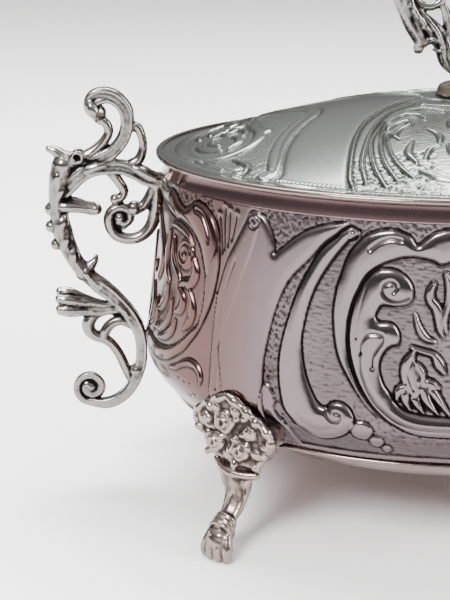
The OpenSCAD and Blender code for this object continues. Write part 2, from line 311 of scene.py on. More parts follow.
def chase_tall_rib(w):
    """The tall scroll right of the foot panel, with three pearls at its foot."""
    tall_rib = [[75.7, 85], [72, 81.7], [69.3, 77], [67, 72.3], [65.3, 67], [64, 61.7],
                [63.2, 56.7], [63.2, 51.7], [64, 46.7], [65.3, 42.7], [67.7, 39], [70.3, 36.7],
                [74, 35], [77.7, 35.7], [80.7, 37.3], [82.7, 39.7], [83.2, 42.3],
                [82.3, 44.3], [80.7, 45.8], [79, 46.2], [77.3, 45.8], [76, 44.5], [74, 45.3],
                [72, 48.3], [70.3, 52], [69.3, 55.7], [68.7, 60], [69.2, 65], [70.3, 70],
                [72, 74.3], [74.3, 78.3], [76.7, 81.7], [78.7, 84], [81.7, 86], [80.3, 87.3],
                [78.7, 87.5], [76.7, 86.3]]
    w.swell(smooth(tall_rib), 0.95, 4.2, chased=0.35)
    w.chase([[76.6, 44.6], [76.4, 43], [77.7, 41.3], [79.6, 41.4], [80, 43], [78.8, 43.6]], 0.5)
    w.chase(spiral(79.6, 85.6, 1.5, 0.4, 220, 1.1), 0.3)
    w.crease([[65.4, 60], [65.2, 52], [66.6, 46], [69.5, 41], [74, 38.3], [78, 39.3]], 0.16, 0.7)

    for x, y, r in ((84.8, 39.2, 2.9), (88.2, 36.2, 1.9), (90.4, 34, 1.4)):
        w.swell(disc(x, y, r), 0.6, 2.4)


def chase_front_frame(w):
    """The frame of the front cartouche: an outer strip and the broad inner scroll."""
    frame_strip = [[82, 85], [80, 82.7], [78.7, 80.3], [77.7, 77], [76.7, 73.3], [76.2, 68.3],
                   [76.5, 64.3], [77.3, 60], [78.7, 56], [80.7, 52.7], [83.3, 49], [86, 46],
                   [88.5, 43.8], [86.7, 45.9], [84.5, 48.5], [82.9, 51.5], [81.5, 54.5],
                   [80.5, 57.9], [80, 61.2], [79.9, 64.4], [80.2, 67.3], [81, 70.7],
                   [82.2, 73.7], [83.5, 76.3], [85.4, 78.2], [87.7, 79.6], [89.3, 80.3],
                   [92, 81.2], [94.7, 81.5], [97.3, 81.3], [99.7, 80.8], [101.3, 80],
                   [103.4, 80.6], [106, 82], [110, 83.6], [115, 84.5], [CENTRE + 2, 84.8],
                   [CENTRE + 2, 88.9], [113, 88.8], [107, 88.7], [102.7, 88.2], [101, 87.8],
                   [99.3, 87.2], [97.7, 86], [96.5, 85], [95.5, 84.3], [94.3, 85.8],
                   [93, 86.7], [91.3, 87.3], [89.3, 87.7], [86, 87.2], [83.5, 86.3]]
    w.swell(smooth(frame_strip), 0.9, 3.0, chased=0.3)
    w.chase([[84.3, 82.7], [86, 84.2], [88, 85.2], [90, 85.5], [91.7, 85.2]], 0.55, 0.32)

    inner_scroll = [[85.4, 77.6], [83.7, 75.6], [82.3, 72.8], [81.2, 69.8], [80.5, 66],
                    [80.4, 62], [81, 58], [82.3, 54], [84, 50.5], [86.4, 47], [89.3, 44],
                    [92.7, 41.6], [96, 39.8], [99.3, 39], [105.3, 38.8], [CENTRE + 2, 38.8],
                    [CENTRE + 2, 44.3], [105.3, 44.4], [100, 44.6], [95.7, 45.4], [93, 47],
                    [91.3, 49.3], [89.7, 51.3], [88.7, 53.7], [88.3, 56], [88.7, 58],
                    [89.7, 59.7], [91, 60.7], [92.3, 61], [92.8, 62.3], [92.5, 64],
                    [91.3, 65.7], [89.7, 66.3], [87.6, 66.2], [86.6, 67.3], [87, 68.7],
                    [88, 70], [90.3, 70], [92.3, 70.2], [94, 70.7], [95.2, 72], [95.3, 74],
                    [94.5, 75.8], [93, 77.3], [91.3, 78.3], [89.3, 78.7], [87, 78.5]]
    w.swell(smooth(inner_scroll), 0.95, 4.6, chased=0.34)
    w.chase([[94.4, 72], [92.3, 71], [90.3, 71.1], [88.8, 71.9], [87.9, 73.3], [88.2, 74.9],
             [90, 75.6], [91.2, 74.6], [90.6, 73.4]], 0.6, 0.36)
    w.chase([[83.7, 58.3], [83.7, 60.3], [84.3, 62.3], [85.7, 63.3], [87.7, 63.3],
             [88.8, 62.8], [88.8, 61.7], [87.7, 60], [86.8, 58], [86.7, 55.3]], 0.5, 0.34)
    w.chase([[83.7, 58.3], [84, 55], [85, 52], [86.3, 49.3], [88, 47], [89.7, 45.5],
             [93, 43.2], [97, 41.8], [103, 41.3], [CENTRE, 41.2]], 0.42, 0.4)
    w.chase([[84.6, 76], [83.4, 72], [82.6, 67], [82.4, 62]], 0.2)


def chase_front_foliage(w):
    """Leaves and curls inside the front cartouche."""
    for tongue in ([[100, 52, 1.1], [102, 49.4, 1.1], [105.4, 44.9, 0.35]],
                   [[98.4, 51.8, 1.2], [99.8, 48.6, 1.2], [102.7, 45.1, 0.35]],
                   [[96.8, 51.6, 1.2], [97.2, 48.4, 1.2], [99.3, 45.3, 0.35]],
                   [[95, 51.6, 1.2], [94.8, 48.6, 1.1], [96.2, 45.8, 0.35]],
                   [[94.6, 51.6, 0.9], [93.2, 50.2, 1.0], [92.9, 48, 0.4]],
                   [[98, 52.8, 0.9], [100.4, 52.4, 1.2], [102.6, 51.4, 0.5]],
                   [[97.2, 56.6, 0.8], [98.4, 54.8, 1.0], [98.7, 52.8, 0.5]],
                   [[96.3, 59.8, 0.4], [95.2, 57, 1.7], [95.8, 53.4, 2.3], [97, 50.6, 1.6]]):
        w.rib(tongue, 0.85, chased=0.25)
    w.chase([[95.8, 58], [95.2, 54.6], [96.6, 50.8]], 0.3)
    w.rib([[103.6, 55, 0.6], [102.3, 57, 1.3], [100.8, 59.2, 0.8], [98, 60, 0.7],
           [95.7, 60.6, 0.5]], 0.75)
    w.rib([[100, 75.6, 0.7], [99.3, 74, 1.0], [99.5, 71.8, 1.1], [101, 70, 1.2],
           [101.8, 67.3, 1.2], [102, 65.3, 0.9], [102.7, 63.6, 0.4]], 0.8)
    w.rib([[102.7, 78, 0.6], [103.6, 75.5, 1.0], [103.8, 72, 1.0], [103, 68, 0.7],
           [103.4, 64.5, 0.3]], 0.7)
    w.rib([[96, 68.5, 0.3], [97, 65.5, 0.8], [98.6, 63.2, 0.9], [101, 62.2, 0.4]], 0.6)

    for points in ([[CENTRE, 45, 1.2], [CENTRE, 52, 2.2], [CENTRE, 60, 2.6], [CENTRE, 68, 1.6],
                    [CENTRE, 73, 0.5]],
                   [[CENTRE - 1, 47, 0.9], [115, 50, 1.6], [112.5, 55, 1.7], [112.8, 60.5, 1.3],
                    [115, 64, 0.6]],
                   [[CENTRE - 2, 46, 0.8], [112, 46.8, 1.2], [108, 50, 1.4], [106.6, 55, 1.3],
                    [108.2, 60, 1.1], [111, 62.5, 0.5]],
                   [[CENTRE, 80, 1.2], [115.5, 78.6, 1.3], [111.5, 75.6, 1.3], [109.4, 71, 1.2],
                    [110.8, 67, 1.1], [113.6, 67.6, 0.7]],
                   [[CENTRE, 77, 0.8], [117.4, 74, 0.8], [116.8, 70.5, 0.4]],
                   [[108.6, 79.6, 0.5], [106.8, 76, 1.0], [106.6, 71.5, 1.0], [107.6, 66.5, 0.5]]):
        w.rib(points, 0.8)
    w.chase([[CENTRE, 47], [CENTRE, 69]], 0.3)


def chase_end_frame(w):
    """The frame of the end cartouche, and its outline for the beads along it."""
    end_strip = [[-2, 88.3], [11.7, 87.2], [15, 87.8], [18.7, 87.2], [21.7, 85.7], [24.7, 84.8],
                 [26.2, 85], [28.3, 86], [30, 87.2], [32, 87.5], [34.3, 87.2], [36.7, 86],
                 [38.7, 84.7], [40.3, 82.7], [41.7, 80], [42.3, 77], [42.5, 73.7],
                 [42.3, 70.3], [41.7, 66.7], [40.7, 63], [39, 59], [36.7, 55], [34.3, 52],
                 [32, 49.3], [29.3, 47.3], [26, 45.3], [22.7, 44], [18.7, 43.2], [14, 43.3],
                 [-2, 43.5], [-2, 47.2], [14, 47], [20, 47.4], [24.5, 48.4], [28.5, 50.4],
                 [31.8, 53], [34.6, 55.6], [36.7, 57.7], [37.7, 60.3], [38.2, 63.3],
                 [38.2, 66.7], [37.7, 70.3], [36.3, 73.7], [34.7, 76.7], [32, 79],
                 [28.7, 80.7], [24.7, 81.5], [21.3, 81.3], [16, 82.2], [10, 83], [-2, 83.3]]
    end_field = [[-2, 83.3], [10, 83], [16, 82.2], [21.3, 81.3], [24.7, 81.5], [28.7, 80.7],
                 [32, 79], [34.7, 76.7], [36.3, 73.7], [37.7, 70.3], [38.2, 66.7], [38.2, 63.3],
                 [37.7, 60.3], [36.7, 57.7], [34.6, 55.6], [31.8, 53], [28.5, 50.4],
                 [24.5, 48.4], [20, 47.4], [14, 47], [-2, 47.2]]
    w.plain(end_field, -0.85)
    w.swell(smooth(end_strip), 0.95, 3.2, chased=0.35)
    w.chase([[32, 85.3], [34.7, 84.7], [36.7, 82.7], [38.3, 80], [38.5, 78.7]], 0.6, 0.34)
    return end_strip


def chase_end_foliage(w):
    """Leaves and curls inside the end cartouche, and the fan under the neck."""
    w.swell(disc(28.5, 73.5, 4.1), 0.9, 2.0)
    w.chase(spiral(28.5, 73.5, 3.4, 0.5, 300, 1.7), 0.5, 0.36)
    for points in ([[30.4, 66, 0.5], [32.6, 63.3, 1.2], [33.6, 60.3, 1.6], [33, 57.2, 1.4],
                    [31, 54.6, 0.6]],
                   [[32.6, 73, 0.9], [33.8, 69.8, 1.5], [32.2, 67, 1.5], [29.3, 66.3, 1.3],
                    [26.4, 64.8, 0.7]],
                   [[21.4, 76.4, 0.6], [22.2, 71.2, 1.6], [25.6, 67.8, 1.2], [27.4, 65.6, 0.5]],
                   [[26.4, 55.6, 0.6], [24.8, 52.6, 1.4], [20.6, 49.8, 1.2], [16.4, 48.6, 0.5]],
                   [[23.6, 60.4, 0.6], [22.2, 55.6, 1.7], [18.4, 52, 1.5], [13.6, 50.4, 0.6]],
                   [[25.8, 57.8, 0.6], [28.6, 59.6, 1.6], [29, 62.4, 1.3], [27, 64.4, 0.5]],
                   [[20.4, 64.6, 0.6], [19.2, 60, 1.8], [16.6, 56.8, 1.4], [13.6, 55.6, 0.5]],
                   [[19.6, 79.4, 0.6], [24, 79.6, 1.1], [28.6, 78.6, 1.0], [31.6, 76.4, 0.5]],
                   [[18.4, 77.6, 0.6], [17.6, 72.4, 1.5], [18.4, 67.6, 1.2], [21, 64.8, 0.5]],
                   [[26, 43.2, 0.4], [29.3, 44.2, 0.8], [32.4, 46, 1.0], [35.4, 47, 1.2],
                    [38, 46.4, 1.1], [39.5, 44.4, 0.9], [39.5, 42.4, 0.5]],
                   [[0, 79, 1.4], [6, 78, 1.7], [11.4, 74.6, 1.8], [13.8, 69.4, 1.8],
                    [12.2, 64.4, 1.5], [8.6, 63.8, 1.1], [8.2, 67, 0.7]],
                   [[0, 49, 1.8], [0, 56, 3.0], [0, 65, 2.8], [0, 73, 0.6]],
                   [[1.8, 48.6, 1.0], [6.4, 50.6, 1.9], [9, 55.6, 1.8], [7.4, 61, 0.6]],
                   [[3, 48.4, 0.8], [10, 49.4, 1.5], [13.4, 53.4, 1.4], [13.4, 58.4, 0.5]]):
        w.rib(points, 0.8)
    for line in ([[23.2, 59], [21.6, 55.4], [17.6, 52.2]], [[26.2, 55], [24.2, 52.4], [20, 50.2]],
                 [[22.2, 75.6], [22.6, 71.4], [26, 68.2]], [[19.8, 63.4], [18.8, 60], [16, 57]],
                 [[31, 65.4], [33.2, 62], [33.2, 58.4]], [[0, 50], [0, 70]],
                 [[2.4, 49.4], [6.4, 51.6], [8.4, 56.4]], [[6, 78], [11, 74.2], [13.2, 69.4]]):
        w.chase(line, 0.22, 0.3)
    w.dots([(30.5, 41.5), (33, 41.1), (35.5, 41.4), (36.6, 38.4), (34.2, 37.4)], 0.3, 0.4)
    fan = [[[43.4, 77], [42.4, 82], [41.2, 86]], [[44, 78], [43.4, 83], [43, 88.3]],
           [[45, 79], [45, 83], [44.8, 87.6]], [[46.2, 80.5], [46.8, 84], [47.2, 87]]]
    for line in fan:
        w.chase(line, 0.4)
    w.dots([line[-1] for line in fan], -0.45, 0.55)


def work_wall_ground(w, end_strip):
    """Beads along the borders, then hatching and matting on the ground."""
    gx, gy = np.meshgrid(w.x, w.y)
    beads = np.arange(0.6, QUARTER, 1.25)
    w.h = np.where(gy < 31.5, np.maximum(w.h, -0.45), w.h)
    w.dots([(b, 30.9) for b in beads], -0.3, 0.42)
    w.dots([(43.2 - 0.02 * (z - 52), z) for z in np.arange(41, 67, 1.2)], -0.35, 0.4)
    inner_edge = smooth(end_strip[33:48], 1.2)
    w.dots([(p[0], p[1]) for p in inner_edge if p[0] > 16], -0.22, 0.4)

    hatched = (gy < 36) & (gy > 31.6)
    hatched |= (gx > 69) & (gx < 83) & (gy > 36) & (gy < 86)
    hatched |= (gx > 84) & (gy < 82) & (gy > 44)
    w.hatch(hatched, 0.8, 0.12)
    w.mat(~hatched & (gy > 31.6), 0.5, 0.16, 0.2)
    w.mat(hatched, 1.3, 0.1, 0.2)
    w.soften(3)


# ---------------------------------------------------------------- the chased lid

LID_GROUND = -0.62
FLANGE_LEVEL = -0.25
BEAD_RING = 75.4


def lid_relief():
    """One quarter of the lid, seen from above: x and y are 0 to minus the half length and width."""
    w = Relief(-FLANGE_A - 1.0, 0.0, -FLANGE_B - 1.0, 0.0, CELL, LID_GROUND)
    gx, gy = np.meshgrid(w.x, w.y)
    r = np.hypot(gx, gy / OVAL)
    w.h = np.where(r > 76.0, FLANGE_LEVEL, w.h)
    w.h -= 0.3 * np.exp(-((r - BEAD_RING) / 0.4) ** 2)
    chase_lid_panels(w)
    chase_lid_fan(w)
    chase_lid_foliage(w)
    work_lid_ground(w, gx, gy, r)
    return w


def chase_lid_panels(w):
    """The bright rib and the plain curved panel between the fan and the end medallion."""
    plain = [[-41.5, 1], [-44, -5], [-47.5, -10], [-50, -15.5], [-52.5, -22], [-54, -28],
             [-55, -35.5], [-57, -38.4], [-55, -40], [-52.6, -38], [-51, -33], [-49.8, -27],
             [-47.5, -20.5], [-45, -15], [-42, -9.5], [-39.5, -5], [-38.4, 1]]
    w.swell(smooth(plain), 0.45, 0.8, chased=0.16)
    w.chase([[-41, -1.5], [-44.2, -9], [-48, -16], [-50.6, -23], [-52, -30], [-53, -36]], 0.14, 0.5)
    plain_panel = [[-38, 1.5], [-39.2, -5.4], [-41.6, -10], [-44.4, -15.4], [-46.9, -21],
                   [-49.2, -27.2], [-50.5, -33.5], [-51.6, -39], [-53.2, -41.2], [-46, -47.5],
                   [-38, -52], [-37.2, -46], [-36.2, -39.5], [-34.9, -33], [-32.9, -26],
                   [-30.4, -20], [-26.8, -14.2], [-22.6, -8.9], [-18, -4.8], [-12.5, -1.4],
                   [-8, 1.5]]
    w.swell(smooth(plain_panel), 0.3, 1.6, chased=0.1)


def chase_lid_fan(w):
    """The fan of curved ribs beside the front panel."""
    ribs = ([[-36, -50, 0.8], [-36.3, -46, 1.0], [-35.3, -39.5, 1.1], [-34, -33, 1.1],
             [-32, -26, 1.1], [-29.5, -20, 1.1], [-26, -14.5, 1.0], [-22, -9.5, 0.9],
             [-17.5, -5.5, 0.8], [-12.5, -2, 0.5]],
            [[-33, -49, 0.7], [-32.9, -41, 1.2], [-31.5, -34.5, 1.2], [-29.5, -28, 1.2],
             [-26.5, -21, 1.1], [-23, -15, 1.0], [-19.5, -11.5, 0.8], [-15.5, -8.5, 0.5]],
            [[-28.7, -51.5, 0.6], [-30, -45.5, 1.2], [-30.3, -39.5, 1.2], [-29.6, -32, 1.1],
             [-27.8, -27, 1.0], [-25, -21, 0.6]],
            [[-25.8, -50, 0.6], [-27.5, -43.5, 1.1], [-27.9, -37, 1.1], [-27, -30.5, 1.0],
             [-25.8, -26, 0.7], [-24.5, -21.5, 0.4]],
            [[-22, -49.6, 0.6], [-24.4, -45, 1.0], [-25.8, -39, 1.0], [-25.8, -33, 0.8],
             [-25, -28.5, 0.4]])
    for points in ribs:
        w.rib([[x, y, 0.5 * r] for x, y, r in points], 0.6, chased=0.14)
        w.dots([(points[0][0] + 1.1, points[0][1] + 0.5)], -0.4, 0.7)


def chase_lid_foliage(w):
    """The end medallion's frame, and the leaves in it and in the front panel."""
    medallion = [[-77, 2], [-77, -2.5], [-76.5, -7.5], [-75, -13], [-72.5, -17.5],
                 [-69, -21], [-64.5, -22.5], [-60, -21.5], [-56.5, -18.5], [-54.3, -15],
                 [-53.8, -12.6], [-52.2, -10.6], [-53.2, -8], [-54.6, -4], [-54.8, 2],
                 [-57.8, 2], [-57.6, -4], [-56.8, -8], [-57, -12], [-58.6, -16],
                 [-61.5, -18.6], [-65, -19.2], [-68.6, -17.6], [-71.4, -14], [-73, -9],
                 [-73.6, -3], [-73.6, 2]]
    w.swell(smooth(medallion), 0.58, 1.5, chased=0.16)
    for points in ([[-70.5, -2, 0.4], [-70.8, -7, 1.1], [-68.6, -12.5, 1.1], [-65.4, -15, 0.5]],
                   [[-67.6, -3, 0.4], [-67.6, -7.4, 1.0], [-65.8, -11, 0.5]],
                   [[-63.4, -16.6, 0.5], [-61, -13.4, 1.5], [-60.6, -10, 1.3], [-62.2, -7, 0.4]],
                   [[-59.4, -9.6, 0.6], [-58.6, -5, 0.9], [-60.4, -1.4, 1.0], [-63, -2.6, 0.8],
                    [-64.8, -0.6, 0.8], [-67, -1.6, 0.4]],
                   [[-71.5, -18, 0.4], [-69, -24, 0.7], [-65.2, -28.6, 0.8]],
                   [[-62.5, -24.6, 0.4], [-60.6, -27.4, 0.7], [-59.2, -30.6, 0.8],
                    [-60.2, -34, 0.5]],
                   [[-23.8, -21.6, 0.4], [-20, -18, 0.9], [-16.5, -18.8, 0.9], [-15, -22, 0.4]],
                   [[-25, -26.6, 0.5], [-22.5, -23.6, 0.9], [-19.5, -22.4, 0.9],
                    [-19.4, -24.8, 1.0], [-22.4, -27.4, 1.1], [-23.8, -30.4, 0.9],
                    [-22.8, -33, 0.4]],
                   [[-20, -34, 0.5], [-21.8, -39, 1.3], [-20.6, -44, 0.5]],
                   [[-18.4, -42.4, 0.4], [-16.6, -38.6, 0.9], [-14, -37, 0.4]],
                   [[-18.6, -15, 0.4], [-14, -14.4, 0.8], [-9.6, -17.4, 0.4]],
                   [[-15.6, -28.6, 0.5], [-13.4, -32, 1.2], [-13.8, -35.6, 0.6]],
                   [[0, -24, 1.0], [0, -32, 2.2], [0, -40, 2.0], [0, -46, 0.6]],
                   [[-1, -46, 0.8], [-5, -42.6, 1.4], [-7.4, -37.6, 1.4], [-6.6, -32, 0.6]],
                   [[-2, -47.4, 0.7], [-8, -45.4, 1.2], [-11.6, -41, 1.2], [-12, -36.6, 0.4]],
                   [[0, -20.4, 1.0], [-4.6, -20.8, 1.1], [-8.6, -23.6, 1.2], [-9.6, -28, 1.0],
                    [-7, -29.6, 0.5]],
                   [[-20.4, -47, 0.4], [-17.4, -49.6, 0.9], [-13, -51.4, 0.9], [-8, -51.6, 0.7],
                    [-3, -50.4, 0.9], [0, -50.6, 0.7]],
                   [[-14, -11, 0.5], [-8, -13.8, 0.9], [-3, -13.6, 0.9], [0, -12.6, 0.8]]):
        w.rib([[x, y, 0.72 * r + 0.1] for x, y, r in points], 0.62, chased=0.16)
    w.swell(disc(-61.3, -32.4, 2.4), 0.7, 1.1)
    w.chase(spiral(-61.3, -32.4, 1.9, 0.3, 60, 1.5), 0.35)
    w.swell(disc(-55.6, -37.2, 1.9), 0.7, 1.0)


def work_lid_ground(w, gx, gy, r):
    """A ring of beads round the dome, hatching and matting, and the plain flange."""
    ring = np.radians(np.arange(0.4, 90.0, 0.9))
    beads = [(-BEAD_RING * math.cos(a), -BEAD_RING * OVAL * math.sin(a)) for a in ring]
    w.dots(beads, -0.45, 0.42)

    ground = (r < 75.0) & (r > PAD_A + 1.0)
    hatched = ground & (gx > -24) & (gy < -16) & (gy > -48)
    hatched |= ground & (gx < -57) & (gy > -18)
    w.hatch(hatched, 0.8, 0.08)
    feet = (gy < -39) & (gx > -40) & (gx < -16)
    bare = (gx > -36) & (gx < -16) & ~feet
    w.mat(ground & ~hatched & ~bare & (w.h < LID_GROUND + 0.2), 0.8, 0.1, 0.2)
    w.mat(ground & feet & (w.h < LID_GROUND + 0.2), 0.6, 0.2, 0.24)
    w.soften(2)
    w.h = np.where(r > 77.6, FLANGE_LEVEL, w.h)


# ---------------------------------------------------------------- meshes from chased relief


def chased_mesh(grid, recess, mirror_low, mirror_high):
    """A closed band of metal from a grid of points: columns run along it, rows go round it.

    mirror_low and mirror_high say which axis flips across the band's first and last column.
    """
    rows, cols = grid.shape[:2]
    low = grid[:, 1:2] * np.array(mirror_low)
    high = grid[:, -2:-1] * np.array(mirror_high)
    wide = np.concatenate([low, grid, high], axis=1)
    along = wide[:, 2:] - wide[:, :-2]
    across = np.roll(grid, -1, 0) - np.roll(grid, 1, 0)
    normal = np.cross(across, along)
    normal /= np.maximum(np.linalg.norm(normal, axis=2, keepdims=True), 1e-12)
    i, j = np.meshgrid(np.arange(rows), np.arange(cols - 1), indexing="ij")
    a = i * cols + j
    b = (i + 1) % rows * cols + j
    quads = np.stack([a, b, b + 1, a + 1], axis=2).reshape(-1, 4)
    return grid.reshape(-1, 3), quads, normal.reshape(-1, 3), recess.reshape(-1)


def add_mesh(name, points, quads, normals, recess):
    """Makes a smooth-shaded object from points in millimetres."""
    mesh = bpy.data.meshes.new(name)
    mesh.vertices.add(len(points))
    mesh.vertices.foreach_set("co", (points * MM).astype(np.float32).ravel())
    mesh.loops.add(quads.size)
    mesh.loops.foreach_set("vertex_index", quads.astype(np.int32).ravel())
    mesh.polygons.add(len(quads))
    mesh.polygons.foreach_set("loop_start", np.arange(0, quads.size, 4, dtype=np.int32))
    mesh.update(calc_edges=True)
    mesh.validate()
    mesh.polygons.foreach_set("use_smooth", np.ones(len(mesh.polygons), bool))
    layer = mesh.attributes.new("recess", "FLOAT", "POINT")
    layer.data.foreach_set("value", recess.astype(np.float32))
    mesh.normals_split_custom_set_from_vertices(normals.astype(np.float32))
    obj = bpy.data.objects.new(name, mesh)
    bpy.context.scene.collection.objects.link(obj)
    return obj


# The axis flips across the first and the last column of every quarter.
SEAM_FLIPS = ([1, -1, 1], [-1, 1, 1])
QUARTERS = (("front_left", 1, 1), ("front_right", -1, 1), ("back_left", 1, -1),
            ("back_right", -1, -1))


def quarter(name, grid, recess, sx, sy):
    """One quarter of a chased band, mirrored into its place with its own mesh."""
    points, quads, normals, deep = chased_mesh(grid, recess, *SEAM_FLIPS)
    turn = np.array([sx, sy, 1.0])
    if sx * sy < 0:
        quads = quads[:, ::-1]
    return add_mesh(name, points * turn, quads, normals * turn, deep)


def recess_of(relief, low, high):
    """How deep and hidden each spot of a relief is: 0 on the polished tops, 1 in the recesses."""
    depth = np.clip((high - relief.h) / (high - low), 0.0, 1.0)
    hollow = np.clip((relief.blurred(0.8) - relief.h - 0.03) / 0.3, 0.0, 1.0)
    return np.clip(0.38 * depth ** 1.5 + 0.85 * hollow, 0.0, 1.0)


def wall_pieces():
    """The bowl's wall in four quarters, chased outside and smooth inside."""
    relief = wall_relief()
    tone = recess_of(relief, WALL_GROUND - 0.1, -0.15)
    s = np.linspace(0.0, QUARTER, 391)
    z = np.concatenate([np.linspace(NECK_Z, BORDER_Z, 198), np.linspace(BORDER_Z, NECK_Z, 10)])
    outside = np.arange(len(z)) < 198
    gs, gz = np.meshgrid(s, z)
    t = np.interp(gs, ARC, TURN)
    a = wall_half_length(gz)
    slope = (wall_half_length(gz + 0.05) - wall_half_length(gz - 0.05)) / 0.1
    normal = np.stack([-np.cos(t), -np.sin(t) / OVAL, -slope], axis=2)
    normal /= np.linalg.norm(normal, axis=2, keepdims=True)
    base = np.stack([-a * np.cos(t), -a * OVAL * np.sin(t), gz], axis=2)
    inward = np.where(outside[:, None], relief.sample(relief.h, gs, gz), -SHEET - 0.85)
    grid = base + normal * np.minimum(inward, 0.0)[..., None]
    grid[..., 2] = np.clip(grid[..., 2], BORDER_Z, NECK_Z)
    deep = np.where(outside[:, None], relief.sample(tone, gs, gz), 0.15)
    return [quarter(f"wall_{name}", grid, deep, sx, sy) for name, sx, sy in QUARTERS]


def lid_pieces():
    """The lid in four quarters, chased on top and smooth underneath."""
    relief = lid_relief()
    tone = recess_of(relief, LID_GROUND - 0.1, -0.1)
    u = np.radians(np.linspace(0.0, 90.0, 315))
    r = np.concatenate([np.linspace(2.4, PAD_A, 12), np.linspace(PAD_A + 0.35, FLANGE_A, 196),
                        np.linspace(FLANGE_A, 2.4, 30)])
    top = np.arange(len(r)) < 208
    gu, gr = np.meshgrid(u, r)
    x, y = -gr * np.cos(gu), -gr * OVAL * np.sin(gu)
    z = lid_height(gr)
    slope = np.where((gr > PAD_A) & (gr < DOME_A), -2.0 * DOME_H * gr / DOME_A ** 2, 0.0)
    normal = np.stack([-slope * x / gr, -slope * y / (OVAL ** 2 * gr), np.ones(z.shape)], axis=2)
    normal /= np.linalg.norm(normal, axis=2, keepdims=True)
    base = np.stack([x, y, z], axis=2)
    drop = relief.sample(relief.h, x, y)
    drop = np.where(gr < PAD_A + 0.4, -0.3, np.minimum(drop, 0.0))
    grid = base + normal * drop[..., None]
    under = np.stack([x, y, np.maximum(z - 1.5 * SHEET, MOUTH_Z)], axis=2)
    grid = np.where(top[:, None, None], grid, under)
    deep = np.where(top[:, None], relief.sample(tone, x, y), 0.15)
    return [quarter(f"lid_{name}", grid, deep, sx, sy) for name, sx, sy in QUARTERS]


# ---------------------------------------------------------------- plain raised and drawn pieces


def deselect():
    bpy.ops.object.select_all(action="DESELECT")


def only(obj):
    deselect()
    obj.select_set(True)
    bpy.context.view_layer.objects.active = obj


def to_metres(obj, name):
    """Brings a piece worked in millimetres down to size, with its origin on the table."""
    only(obj)
    obj.name = name
    obj.data.name = name
    obj.scale = (MM, MM, MM)
    bpy.ops.object.transform_apply(location=True, rotation=True, scale=True)
    return obj


def joined(parts):
    """Joins worked parts into one object, each part's own place kept."""
    for part in parts:
        only(part)
        bpy.ops.object.transform_apply(location=True, rotation=True, scale=True)
    deselect()
    for part in parts:
        part.select_set(True)
    bpy.context.view_layer.objects.active = parts[0]
    bpy.ops.object.join()
    return bpy.context.object


def turn_outward():
    """Turns all faces of the active object outward."""
    bpy.ops.object.mode_set(mode="EDIT")
    bpy.ops.mesh.select_all(action="SELECT")
    bpy.ops.mesh.normals_make_consistent(inside=False)
    bpy.ops.object.mode_set(mode="OBJECT")


def oval_band(name, profile, segments=320, corner=35.0):
    """Raises a closed oval band: the profile is (half length, half width, height) rings."""
    deselect()
    a, b, z = profile[0]
    bpy.ops.mesh.primitive_circle_add(vertices=segments, radius=1.0, location=(0, 0, 0))
    band = bpy.context.object
    bpy.ops.object.mode_set(mode="EDIT")
    bpy.ops.mesh.select_all(action="SELECT")
    bpy.ops.transform.resize(value=(a, b, 1.0), center_override=(0, 0, 0))
    bpy.ops.transform.translate(value=(0, 0, z))
    for wide, deep, high in profile[1:] + profile[:1]:
        bpy.ops.mesh.extrude_edges_move()
        bpy.ops.transform.resize(value=(wide / a, deep / b, 1.0), center_override=(0, 0, 0))
        bpy.ops.transform.translate(value=(0, 0, high - z))
        a, b, z = wide, deep, high
    bpy.ops.mesh.select_all(action="SELECT")
    bpy.ops.mesh.remove_doubles(threshold=0.001)
    bpy.ops.mesh.normals_make_consistent(inside=False)
    bpy.ops.object.mode_set(mode="OBJECT")
    bpy.ops.object.shade_smooth_by_angle(angle=math.radians(corner))
    return to_metres(band, name)


NECK_CHAMFER = 0.3
NECK_HOLLOW = 0.12


def neck_piece():
    """The plain band under the lid: slightly hollow outside, leaning in by 1 mm."""
    inner_a = NECK_A - 2.0
    inner_b = (NECK_A - 1.0) * OVAL - SHEET
    rings = [(NECK_A - 0.25, (NECK_A - 0.25) * OVAL, NECK_Z),
             (NECK_A, NECK_A * OVAL, NECK_Z + NECK_CHAMFER)]
    for k in range(1, 8):
        z = NECK_Z + NECK_CHAMFER + (MOUTH_Z - NECK_Z - 0.7) * k / 7
        a = NECK_A - (z - NECK_Z) / (MOUTH_Z - NECK_Z) - NECK_HOLLOW * math.sin(math.pi * k / 7)
        rings.append((a, a * OVAL, z))
    rings += [(NECK_A - 1.25, (NECK_A - 1.25) * OVAL, MOUTH_Z),
              (inner_a + 0.25, inner_b + 0.25, MOUTH_Z),
              (inner_a, inner_b, MOUTH_Z - NECK_CHAMFER), (inner_a, inner_b, NECK_Z)]
    return oval_band("neck", rings)


def wire_piece(name, a, z, across, up):
    """A round-backed oval wire lying against the metal at half length a and height z."""
    rings = []
    for k in range(9):
        turn = math.radians(-90.0 + 180.0 * k / 8)
        rings.append((a + across * math.cos(turn), a * OVAL + across * math.cos(turn),
                      z + up * math.sin(turn)))
    rings.append((a - 0.9, a * OVAL - 0.9, z + up * 0.9))
    rings.append((a - 0.9, a * OVAL - 0.9, z - up * 0.9))
    return oval_band(name, rings)


